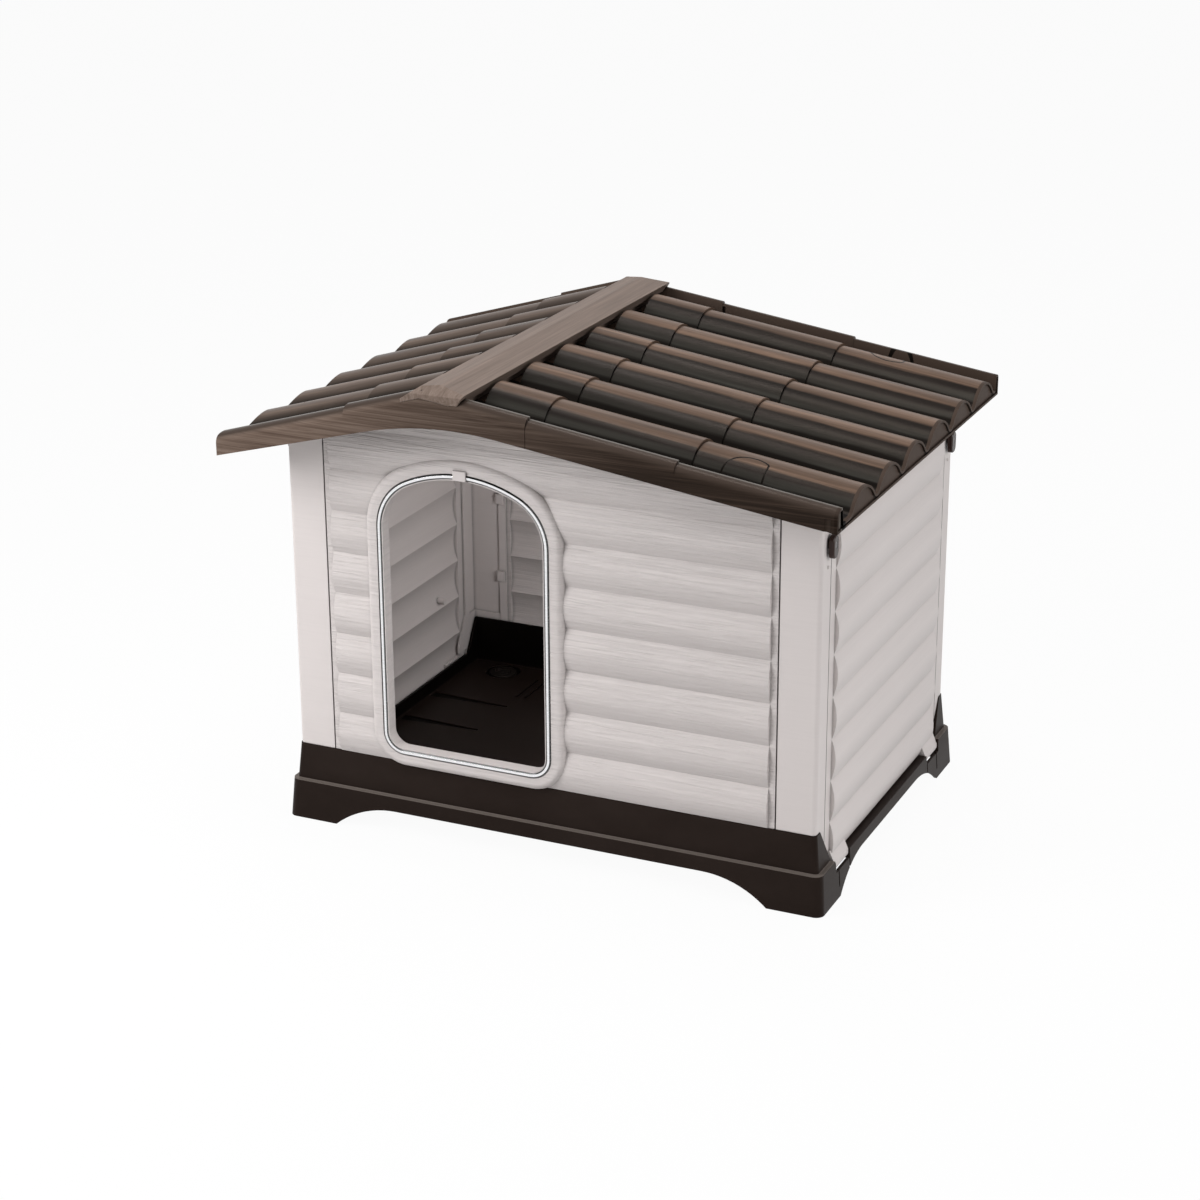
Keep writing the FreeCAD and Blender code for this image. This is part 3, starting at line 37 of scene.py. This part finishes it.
# ---------------------------------------------------------------- the camera
# Fitted to the photograph: angles in degrees, lengths in metres, image sizes in pixels.
AZIMUTH = 24.5458
ELEVATION = 20.3431
ROLL = -0.3103
FOCAL_PX = 2672.35
IMAGE_PX = 1200.0
SENSOR_MM = 36.0
FIT_SCALE = 1.0955
AIM_HEIGHT = 0.3
OFFSET_RIGHT = 0.0348
OFFSET_UP = 0.0388
DISTANCE = 3.3763
CLIP_NEAR = 0.05
CLIP_FAR = 60.0


def make_camera():
    azimuth, elevation, roll = (math.radians(angle) for angle in (AZIMUTH, ELEVATION, ROLL))
    level = math.cos(elevation)
    back = Vector((math.sin(azimuth) * level, -math.cos(azimuth) * level, math.sin(elevation)))
    side = Vector((math.cos(azimuth), math.sin(azimuth), 0.0))
    above = back.cross(side)
    right = side * math.cos(roll) + above * math.sin(roll)
    up = above * math.cos(roll) - side * math.sin(roll)
    place = Vector((0, 0, AIM_HEIGHT)) + back * DISTANCE - right * OFFSET_RIGHT - up * OFFSET_UP
    camera = bpy.data.objects.new("camera", bpy.data.cameras.new("camera"))
    bpy.context.scene.collection.objects.link(camera)
    turn = Matrix((right, up, back)).transposed().to_4x4()
    camera.matrix_world = Matrix.Translation(place * FIT_SCALE + TRAY_MIDDLE) @ turn
    camera.data.sensor_width = SENSOR_MM
    camera.data.lens = FOCAL_PX / IMAGE_PX * SENSOR_MM
    camera.data.clip_start = CLIP_NEAR
    camera.data.clip_end = CLIP_FAR
    bpy.context.scene.camera = camera


make_camera()

# ---------------------------------------------------------------- node helpers
EDGE_RADIUS = 0.0009       # rounding that the light sees on the mouldings' edges
EDGE_SAMPLES = 4
CREVICE_SAMPLES = 6
NOISE_LOW = 0.3            # the range that a noise mostly stays in
NOISE_HIGH = 0.7


def scaled(colour, share):
    return tuple(part * share for part in colour)


class Nodes:
    """Builds the nodes of one material, or of the world."""

    def __init__(self, owner, output="ShaderNodeOutputMaterial"):
        owner.use_nodes = True
        self.owner = owner
        self.tree = owner.node_tree
        self.tree.nodes.clear()
        self.out = self.add(output)

    def add(self, kind, **values):
        node = self.tree.nodes.new(kind)
        for key, value in values.items():
            setattr(node, key, value)
        return node

    def link(self, output, socket):
        self.tree.links.new(output, socket)

    def feed(self, socket, value):
        """Put a number, a colour or another node's output into a socket."""
        if isinstance(value, float):
            socket.default_value = value
        elif isinstance(value, tuple):
            socket.default_value = (*value, 1.0)
        else:
            self.link(value, socket)

    def coordinates(self):
        return self.add("ShaderNodeTexCoord").outputs["Object"]

    def one_of(self, vector, axis):
        split = self.add("ShaderNodeSeparateXYZ")
        self.link(vector, split.inputs[0])
        return split.outputs[axis]

    def axis(self, name):
        """One coordinate of the object."""
        return self.one_of(self.coordinates(), name)

    def facing(self, axis, kind="Normal"):
        """One part of the surface's direction."""
        geometry = self.add("ShaderNodeNewGeometry")
        return self.one_of(geometry.outputs[kind], axis)

    def noise(self, scale, detail, rough=0.5, distort=0.0, size=1.0):
        """Noise on the object itself, stretched by the three scales."""
        mapping = self.add("ShaderNodeMapping")
        mapping.inputs["Scale"].default_value = scale
        self.link(self.coordinates(), mapping.inputs["Vector"])
        node = self.add("ShaderNodeTexNoise")
        node.inputs["Scale"].default_value = size
        node.inputs["Detail"].default_value = detail
        node.inputs["Roughness"].default_value = rough
        node.inputs["Distortion"].default_value = distort
        self.link(mapping.outputs["Vector"], node.inputs["Vector"])
        return node.outputs["Fac"]

    def ramp(self, value, *stops):
        node = self.add("ShaderNodeValToRGB")
        elements = node.color_ramp.elements
        while len(elements) < len(stops):
            elements.new(0.5)
        for element, (at, colour) in zip(elements, stops):
            element.position = at
            element.color = (*colour, 1.0)
        self.link(value, node.inputs["Fac"])
        return node.outputs["Color"]

    def spread(self, value, low, high, to_low=0.0, to_high=1.0):
        node = self.add("ShaderNodeMapRange")
        node.inputs["From Min"].default_value = low
        node.inputs["From Max"].default_value = high
        node.inputs["To Min"].default_value = to_low
        node.inputs["To Max"].default_value = to_high
        self.link(value, node.inputs["Value"])
        return node.outputs["Result"]

    def vary(self, noise, low, high):
        """The noise's usual range, spread from low to high."""
        return self.spread(noise, NOISE_LOW, NOISE_HIGH, low, high)

    def math(self, operation, a, b=0.0):
        node = self.add("ShaderNodeMath", operation=operation)
        for socket, value in zip(node.inputs, (a, b)):
            self.feed(socket, value)
        return node.outputs[0]

    def above(self, value, limit):
        return self.math("GREATER_THAN", value, limit)

    def below(self, value, limit):
        return self.math("LESS_THAN", value, limit)

    def both(self, a, b):
        return self.math("MULTIPLY", a, b)

    def either(self, a, b):
        return self.math("MAXIMUM", a, b)

    def distance(self, value, middle):
        return self.math("ABSOLUTE", self.math("SUBTRACT", value, middle))

    def mix(self, share, a, b, kind="RGBA", blend="MIX"):
        node = self.add("ShaderNodeMix", data_type=kind)
        if kind == "RGBA":
            node.blend_type = blend
        sockets = [socket for socket in node.inputs if socket.enabled]
        for socket, value in zip(sockets, (share, a, b)):
            self.feed(socket, value)
        return [socket for socket in node.outputs if socket.enabled][0]

    def bump(self, height, strength, distance, base=None):
        node = self.add("ShaderNodeBump")
        node.inputs["Strength"].default_value = strength
        node.inputs["Distance"].default_value = distance
        self.link(height, node.inputs["Height"])
        if base is not None:
            self.link(base, node.inputs["Normal"])
        return node.outputs["Normal"]

    def soft_edges(self, radius):
        """Slightly rounded edges, as on a moulding."""
        node = self.add("ShaderNodeBevel", samples=EDGE_SAMPLES)
        node.inputs["Radius"].default_value = radius
        return node.outputs["Normal"]

    def crevice(self, distance, low, high):
        """1 deep in a seam or a corner, 0 in the open, from ambient occlusion; used to paint shade
        there.
        """
        node = self.add("ShaderNodeAmbientOcclusion", samples=CREVICE_SAMPLES)
        node.inputs["Distance"].default_value = distance
        return self.spread(node.outputs["AO"], low, high, 1.0, 0.0)

    def surface(self, colour, rough, normal, metal=0.0, specular=0.5, sheen_tint=WHITE):
        shader = self.add("ShaderNodeBsdfPrincipled")
        self.feed(shader.inputs["Base Color"], colour)
        self.feed(shader.inputs["Roughness"], rough)
        self.feed(shader.inputs["Metallic"], metal)
        self.feed(shader.inputs["Specular IOR Level"], specular)
        self.feed(shader.inputs["Specular Tint"], sheen_tint)
        self.link(normal, shader.inputs["Normal"])
        self.link(shader.outputs[0], self.out.inputs["Surface"])
        return self.owner

    def two_shaders(self, share, first, second):
        blend = self.add("ShaderNodeMixShader")
        self.feed(blend.inputs[0], share)
        self.link(first.outputs[0], blend.inputs[1])
        self.link(second.outputs[0], blend.inputs[2])
        self.link(blend.outputs[0], self.out.inputs["Surface"])


def material(name):
    return Nodes(bpy.data.materials.new(name))


# ---------------------------------------------------------------- walls and posts
WALL_TINT = (0.70, 0.645, 0.63)
WALL_PAINTED_SHADE = scaled(WALL_TINT, 0.72)       # painted shade where a board turns down
WALL_SEAM_SHADE = scaled(WALL_TINT, 0.16)        # painted shade deep between two boards
FINE_SHARE = 0.82                          # share of the fine grain beside the broad one


def wall_material(name, grain, contrast):
    """Off-white moulded plastic with an embossed wood grain that runs level along the boards, and
    painted shade where a board turns down and in the seams.
    """
    m = material(name)
    broad = m.noise((1.6, 1.6, 46.0), detail=4.0, rough=0.6, distort=1.6, size=1.5)
    fine = m.noise((6.0, 6.0, 230.0), detail=5.0, rough=0.66, distort=0.9, size=1.4)
    patch = m.noise((3.0, 3.0, 3.0), detail=2.0)
    height = m.mix(FINE_SHARE, broad, fine, "FLOAT")
    dull = scaled(WALL_TINT, 1.0 - contrast)
    pale = scaled(WALL_TINT, 1.0 + contrast / 2)
    clouded = m.mix(0.3, height, patch, "FLOAT")
    colour = m.ramp(clouded, (0.40, dull), (0.50, WALL_TINT), (0.60, pale))
    # painted shade: the colour darkens where a board's surface turns down
    painted_shade_down = m.spread(m.facing("Z"), -0.30, 0.06, 0.62, 0.0)
    colour = m.mix(painted_shade_down, colour, WALL_PAINTED_SHADE)
    # painted shade in the seams between boards, from ambient occlusion
    seam = m.math("MULTIPLY", m.crevice(0.006, 0.35, 0.90), 0.6)
    colour = m.mix(seam, colour, WALL_SEAM_SHADE)
    rough = m.vary(height, 0.38, 0.55)
    normal = m.bump(height, grain, 0.0036, m.soft_edges(EDGE_RADIUS))
    return m.surface(colour, rough, normal, specular=0.4)


wall_grain = wall_material("wall_grain", grain=0.75, contrast=0.115)
wall_side = wall_material("wall_side", grain=0.07, contrast=0.03)
wall_post = wall_material("wall_post", grain=0.02, contrast=0.02)

# ---------------------------------------------------------------- the dark tray
BROWN_SHEEN = (1.0, 0.78, 0.63)            # the dark mouldings reflect a little warm
TRAY_HALF_X = 0.372                        # inside of the tray, from its middle
TRAY_HALF_Y = 0.2575
LIP_LOW_Z = 0.0545                         # the lip's upper edge, where a highlight is painted
LIP_HIGH_Z = 0.0562
CHANNEL_Z = 0.0446                         # deepest part of the floor's channels
RIM_Z = 0.0475                             # foot of the inner rim
TRAY_DARK = (0.012, 0.0078, 0.0065)
TRAY_LIGHT = (0.021, 0.0145, 0.0125)
TRAY_DEEP_SHADE = (0.0035, 0.0028, 0.0026)
TRAY_LIP_HIGHLIGHT = (0.16, 0.135, 0.12)


def base_material():
    """Dark brown plastic, with painted shade in the channels and on the inner rim and a painted
    highlight along the lip.
    """
    m = material("base_dark")
    speck = m.noise((420.0, 420.0, 420.0), detail=3.0, rough=0.6)
    broad = m.noise((5.0, 5.0, 9.0), detail=4.0, rough=0.6)
    colour = m.ramp(broad, (NOISE_LOW, TRAY_DARK), (NOISE_HIGH, TRAY_LIGHT))
    within_x = m.below(m.distance(m.axis("X"), TRAY_MIDDLE.x), TRAY_HALF_X)
    within_y = m.below(m.distance(m.axis("Y"), TRAY_MIDDLE.y), TRAY_HALF_Y)
    inside = m.both(within_x, within_y)
    outside = m.math("SUBTRACT", 1.0, inside)
    z = m.axis("Z")
    # painted shade in the floor's channels and on the inner rim
    deep = m.either(m.below(z, CHANNEL_Z), m.above(z, RIM_Z))
    colour = m.mix(m.both(inside, deep), colour, TRAY_DEEP_SHADE)
    # painted highlight along the lip's upper edge
    lip_highlight = m.both(m.above(z, LIP_LOW_Z), m.below(z, LIP_HIGH_Z))
    colour = m.mix(m.both(lip_highlight, outside), colour, TRAY_LIP_HIGHLIGHT)
    rough = m.vary(broad, 0.34, 0.46)
    normal = m.bump(speck, 0.10, 0.0006, m.soft_edges(EDGE_RADIUS * 2))
    return m.surface(colour, rough, normal, specular=0.07, sheen_tint=BROWN_SHEEN)


# ---------------------------------------------------------------- the roof
EAVE_X = cad_high[0]                       # the right eave
EDGE_Y = cad_high[1]                       # the front and rear edges, from the middle
PLATE_X = EAVE_X - 0.0045                  # the recessed plates under the eave tiles
FASCIA_Y = EDGE_Y - 0.0035                 # the edge boards
FASCIA_BLEND = 0.003
REAR_LIP_Y = EDGE_Y - 0.0125               # inner side of the rear lip
LIP_OUTER_Y = EDGE_Y - 0.0138              # the painted highlight line along the front lip's crest
LIP_INNER_Y = EDGE_Y - 0.0170
GUTTER_Y = EDGE_Y - 0.0295                 # the gutter behind the front lip
RIDGE_LINE_X = -0.126
RIDGE_BLEND = 0.004
TILE_PITCH = 0.100

COVER_X = EAVE_X - 0.139                   # middles of the half-moon covers
COVER_FRONT_Y = 0.056 - EDGE_Y
COVER_REAR_Y = EDGE_Y - 0.040
COVER_RADIUS = 0.0333
COVER_STRAIGHT_X = EAVE_X - 0.1187
COVER_LINE = 0.0013                        # half the width of the seam round them

VALLEY_SHADE = (0.001, 0.001, 0.001)
VALLEY_EDGE_SHADE = (0.002, 0.002, 0.002)
FLANK_SHEEN = (0.024, 0.023, 0.020)
FLANK_GREY_SHEEN = (0.016, 0.015, 0.013)
FLANK_SHADE = (0.003, 0.002, 0.002)
FLANK_BROWN_SHADE = (0.007, 0.005, 0.004)
CREST_FRONT = (0.115, 0.072, 0.050)
CREST_TOP_LIT = (0.165, 0.106, 0.075)
CREST_BACK = (0.110, 0.072, 0.052)
BACK_SHADE = (0.012, 0.009, 0.007)
# painted light and shade across one tile, from valley to valley: shaded valleys and flanks, a painted
# sheen low on the flank, a lit warm crest
TILE_LIGHT_BANDS = ((0.00, VALLEY_SHADE), (0.12, VALLEY_EDGE_SHADE), (0.15, FLANK_SHEEN), (0.21, FLANK_GREY_SHEEN),
              (0.25, FLANK_SHADE), (0.31, FLANK_BROWN_SHADE), (0.35, CREST_FRONT), (0.52, CREST_TOP_LIT),
              (0.72, CREST_BACK), (0.88, BACK_SHADE), (1.00, VALLEY_SHADE))
# the streaks' share of a band's colour, from dull to bright
STREAK_DULL = (0.45, 0.43, 0.42)
STREAK_MID = (0.90, 0.90, 0.90)
STREAK_BRIGHT = (1.75, 1.78, 1.80)

TAN_DULL = (0.042, 0.026, 0.018)           # the left slope's tiles
TAN_MID = (0.085, 0.056, 0.041)
TAN_BRIGHT = (0.15, 0.106, 0.081)
TAN_VALLEY_SHADE = (0.006, 0.005, 0.004)
PLATE_SHADE_BROWN = (0.070, 0.050, 0.040)
GUTTER_SHADE = (0.003, 0.0028, 0.0025)
REAR_LIP_BROWN = (0.060, 0.042, 0.033)
LIP_HIGHLIGHT = (0.15, 0.135, 0.12)
LIP_BROWN = (0.050, 0.036, 0.029)
SEAM_SHADE = (0.003, 0.0026, 0.0022)

WOOD_STOPS = (0.34, 0.50, 0.66)
WOOD_LIT = ((0.070, 0.047, 0.036), (0.125, 0.088, 0.069), (0.19, 0.142, 0.115))
WOOD_SHADED = ((0.011, 0.0075, 0.0055), (0.022, 0.0145, 0.011), (0.044, 0.030, 0.023))
WOOD_LIT_X = -0.30                        # painted light: the edge boards darken from lit to shaded between these two
WOOD_SHADED_X = 0.16


def tile_colour(m, streak, mixed):
    """Painted light and shade across each tile right of the ridge (shaded valleys and flanks, a painted
    sheen, lit warm crests); tan tiles left of it, with painted shade towards each valley.
    """
    from_valley = m.math("SUBTRACT", m.axis("Y"), TRAY_MIDDLE.y)
    turn = m.math("FRACT", m.math("DIVIDE", from_valley, TILE_PITCH))
    drift = m.math("MULTIPLY", m.math("SUBTRACT", streak, 0.5), 0.16)
    # painted light and shade by the position across each tile
    band = m.ramp(m.math("ADD", turn, drift), *TILE_LIGHT_BANDS)
    wear = m.ramp(mixed, (0.34, STREAK_DULL), (0.50, STREAK_MID), (0.66, STREAK_BRIGHT))
    right_side = m.mix(1.0, band, wear, blend="MULTIPLY")
    left_side = m.ramp(mixed, (0.32, TAN_DULL), (0.52, TAN_MID), (0.68, TAN_BRIGHT))
    # painted shade on each left-slope tile towards its valley
    left_side = m.mix(m.spread(turn, 0.18, 0.36), TAN_VALLEY_SHADE, left_side)
    over_ridge = m.spread(m.axis("X"), RIDGE_LINE_X - RIDGE_BLEND, RIDGE_LINE_X + RIDGE_BLEND)
    return m.mix(over_ridge, left_side, right_side)


def cover_outline(m, middle_y):
    """1 along the seam round one of the half-moon covers."""
    across = m.math("SUBTRACT", m.axis("X"), COVER_X)
    along = m.math("SUBTRACT", m.axis("Y"), middle_y)
    squares = m.math("ADD", m.math("MULTIPLY", across, across), m.math("MULTIPLY", along, along))
    radius = m.math("SQRT", squares)
    on_circle = m.below(m.distance(radius, COVER_RADIUS), COVER_LINE)
    arc = m.both(on_circle, m.below(m.axis("X"), COVER_STRAIGHT_X))
    on_straight = m.below(m.distance(m.axis("X"), COVER_STRAIGHT_X), COVER_LINE)
    side = m.both(on_straight, m.below(radius, COVER_RADIUS))
    return m.either(arc, side)


def roof_material():
    """Glossy brown tiles with lengthwise streaks and painted light and shade; the edge boards carry a
    wood grain with a painted fall of light from left to right.
    """
    m = material("roof_brown")
    streak = m.noise((1.1, 30.0, 5.0), detail=5.0, rough=0.62, distort=0.5, size=1.5)
    fine = m.noise((3.0, 150.0, 24.0), detail=4.0, rough=0.6, distort=0.2)
    mixed = m.mix(0.35, streak, fine, "FLOAT")
    tile = tile_colour(m, streak, mixed)
    plate = m.above(m.axis("X"), PLATE_X)
    # painted shade on the recessed plates under the eave tiles
    tile = m.mix(plate, tile, PLATE_SHADE_BROWN)
    y = m.axis("Y")
    # painted shade in the gutter behind the front lip
    tile = m.mix(m.below(y, -GUTTER_Y), tile, GUTTER_SHADE)
    tile = m.mix(m.above(y, REAR_LIP_Y), tile, REAR_LIP_BROWN)
    # painted highlight along the front lip's crest
    tile = m.mix(m.below(y, -LIP_INNER_Y), tile, LIP_HIGHLIGHT)
    tile = m.mix(m.below(y, -LIP_OUTER_Y), tile, LIP_BROWN)
    # painted shade in the seam round each half-moon cover
    for middle_y in (COVER_FRONT_Y, COVER_REAR_Y):
        tile = m.mix(cover_outline(m, middle_y), tile, SEAM_SHADE)
    # painted shade in the roof's crevices, from ambient occlusion
    tile = m.mix(m.crevice(0.005, 0.30, 0.85), tile, SEAM_SHADE)

    grain = m.noise((2.2, 2.2, 120.0), detail=6.0, rough=0.68, distort=1.5, size=1.4)
    wood_lit = m.ramp(grain, *zip(WOOD_STOPS, WOOD_LIT))
    wood_shaded = m.ramp(grain, *zip(WOOD_STOPS, WOOD_SHADED))
    # painted fall of light along the edge boards, lighter at the left
    wood = m.mix(m.spread(m.axis("X"), WOOD_LIT_X, WOOD_SHADED_X), wood_lit, wood_shaded)
    board = m.spread(m.math("ABSOLUTE", y), FASCIA_Y, FASCIA_Y + FASCIA_BLEND)
    colour = m.mix(board, tile, wood)
    rough = m.mix(board, m.vary(mixed, 0.26, 0.40), m.vary(grain, 0.38, 0.52), "FLOAT")
    height = m.mix(board, mixed, grain, "FLOAT")
    shine = m.mix(plate, 0.09, 0.01, "FLOAT")
    normal = m.bump(height, 0.16, 0.0012)
    return m.surface(colour, rough, normal, specular=shine, sheen_tint=BROWN_SHEEN)


RIDGE_DARK = (0.095, 0.068, 0.053)
RIDGE_MID = (0.160, 0.119, 0.098)
RIDGE_LIGHT = (0.235, 0.182, 0.154)


def ridge_material():
    """Wood grain that runs along the ridge beam."""
    m = material("ridge_wood")
    grain = m.noise((95.0, 2.2, 70.0), detail=6.0, rough=0.68, distort=1.2, size=1.3)
    fine = m.noise((330.0, 8.0, 240.0), detail=4.0, rough=0.6, distort=0.4)
    mixed = m.mix(0.35, grain, fine, "FLOAT")
    colour = m.ramp(mixed, (0.32, RIDGE_DARK), (0.50, RIDGE_MID), (0.68, RIDGE_LIGHT))
    rough = m.vary(mixed, 0.42, 0.58)
    normal = m.bump(mixed, 0.35, 0.0010, m.soft_edges(EDGE_RADIUS))
    return m.surface(colour, rough, normal, specular=0.2, sheen_tint=BROWN_SHEEN)


# ---------------------------------------------------------------- small parts
def plain_plastic(name, dark, light, rough_low, rough_high, specular):
    m = material(name)
    broad = m.noise((18.0, 18.0, 18.0), detail=3.0, rough=0.55)
    speck = m.noise((500.0, 500.0, 500.0), detail=2.0)
    colour = m.ramp(broad, (NOISE_LOW, dark), (NOISE_HIGH, light))
    rough = m.vary(broad, rough_low, rough_high)
    normal = m.bump(speck, 0.08, 0.0005, m.soft_edges(EDGE_RADIUS))
    return m.surface(colour, rough, normal, specular=specular)


def metal(name, colour, rough_low, rough_high, brush, side_shade_share=1.0):
    """Metal with fine brushing; side_shade_share paints a dark reflection on what doesn't face the
    front or the rear.
    """
    m = material(name)
    lines = m.noise(brush, detail=3.0, rough=0.6)
    rough = m.vary(lines, rough_low, rough_high)
    tint = m.ramp(lines, (NOISE_LOW, scaled(colour, 0.93)), (NOISE_HIGH, scaled(colour, 1.04)))
    to_front = m.math("ABSOLUTE", m.facing("Y", "True Normal"))
    # painted reflection: darker where the surface doesn't face the front or the rear
    tint = m.mix(m.spread(to_front, 0.80, 0.97), scaled(colour, side_shade_share), tint)
    normal = m.bump(lines, 0.06, 0.0003, m.soft_edges(EDGE_RADIUS / 3))
    return m.surface(tint, rough, normal, metal=1.0)


LATCH_DARK = (0.020, 0.009, 0.007)
LATCH_LIGHT = (0.034, 0.016, 0.012)
PLUG_DARK = (0.012, 0.009, 0.008)
PLUG_LIGHT = (0.020, 0.016, 0.014)
STRIP_SILVER = (0.86, 0.86, 0.87)
SCREW_GREY = (0.20, 0.19, 0.19)

base_dark = base_material()
roof_brown = roof_material()
ridge_wood = ridge_material()
latch_brown = plain_plastic("latch_brown", LATCH_DARK, LATCH_LIGHT, 0.22, 0.32, specular=0.22)
plug_dark = plain_plastic("plug_dark", PLUG_DARK, PLUG_LIGHT, 0.30, 0.42, specular=0.2)
strip_metal = metal("strip_metal", STRIP_SILVER, 0.20, 0.30, brush=(30.0, 30.0, 400.0), side_shade_share=0.16)
screw_metal = metal("screw_metal", SCREW_GREY, 0.35, 0.48, brush=(300.0, 300.0, 300.0))

DRESS = {
    "base_tray": base_dark,
    "drain_plug": plug_dark,
    "front_panel": wall_grain,
    "rear_panel": wall_grain,
    "left_side_panel": wall_side,
    "right_side_panel": wall_side,
    "corner_post_front_left": wall_post,
    "corner_post_front_right": wall_post,
    "corner_post_rear_left": wall_post,
    "corner_post_rear_right": wall_post,
    "door_edge_strip": strip_metal,
    "strip_clip": wall_post,
    "roof_left": roof_brown,
    "roof_right": roof_brown,
    "roof_cover_front": roof_brown,
    "roof_cover_rear": roof_brown,
    "ridge_cap": ridge_wood,
    "latch_front": latch_brown,
    "latch_rear": latch_brown,
    "latch_screws": screw_metal,
    "roof_screws": screw_metal,
}

for name, look in DRESS.items():
    for slot in nodes[name].material_slots:
        slot.material = look

# ---------------------------------------------------------------- floor, background and lamps
FLOOR_SIZE = 30.0
FLOOR_Z = -0.0005
FLOOR_TINT = (0.86, 0.86, 0.86)
FLOOR_SHADE = 0.05         # share of the floor that takes light and shadow
SOFT_LEVEL = 0.27          # the surroundings' light on matt surfaces


def camera_rays(m):
    """1 for what the camera, a reflection or a see-through surface looks at."""
    path = m.add("ShaderNodeLightPath")
    seen = m.either(path.outputs["Is Camera Ray"], path.outputs["Is Glossy Ray"])
    return m.either(seen, path.outputs["Is Transmission Ray"])


def make_floor():
    m = material("floor_white")
    matt = m.add("ShaderNodeBsdfDiffuse")
    m.feed(matt.inputs["Color"], FLOOR_TINT)
    glow = m.add("ShaderNodeEmission")
    m.feed(glow.inputs["Strength"], 1.0)
    m.two_shaders(m.math("MULTIPLY", camera_rays(m), 1.0 - FLOOR_SHADE), matt, glow)
    half = FLOOR_SIZE / 2
    corners = [(x * half, y * half, FLOOR_Z) for x, y in ((-1, -1), (1, -1), (1, 1), (-1, 1))]
    mesh = bpy.data.meshes.new("floor")
    mesh.from_pydata(corners, [], [(0, 1, 2, 3)])
    floor = bpy.data.objects.new("floor", mesh)
    floor.data.materials.append(m.owner)
    bpy.context.scene.collection.objects.link(floor)


def background(m, strength):
    node = m.add("ShaderNodeBackground")
    m.feed(node.inputs["Color"], WHITE)
    m.feed(node.inputs["Strength"], strength)
    return node


def make_world():
    world = bpy.data.worlds.new("studio")
    bpy.context.scene.world = world
    m = Nodes(world, "ShaderNodeOutputWorld")
    m.two_shaders(camera_rays(m), background(m, SOFT_LEVEL), background(m, 1.0))


def lamp(name, place, target, size, power):
    data = bpy.data.lights.new(name, "AREA")
    data.shape = "RECTANGLE"
    data.size, data.size_y = size
    data.energy = power
    light = bpy.data.objects.new(name, data)
    light.location = place
    light.rotation_euler = (Vector(target) - Vector(place)).to_track_quat("-Z", "Y").to_euler()
    bpy.context.scene.collection.objects.link(light)


make_floor()
make_world()
lamp("lamp_top", place=(0.1, 0.15, 3.0), target=(0.0, 0.05, 0.3), size=(3.0, 0.25), power=36.0)
lamp("lamp_left", place=(-1.35, -1.55, 1.5), target=(-0.1, 0.0, 0.3), size=(1.3, 1.3), power=36.0)
lamp("lamp_right", place=(3.4, -0.6, 1.7), target=(0.0, 0.0, 0.3), size=(1.6, 1.6), power=40.0)
lamp("lamp_cabin", place=(0.14, -0.08, 0.42), target=(-0.25, 0.25, 0.22), size=(0.14, 0.14), power=1.1)

bpy.context.scene.view_settings.view_transform = "Standard"
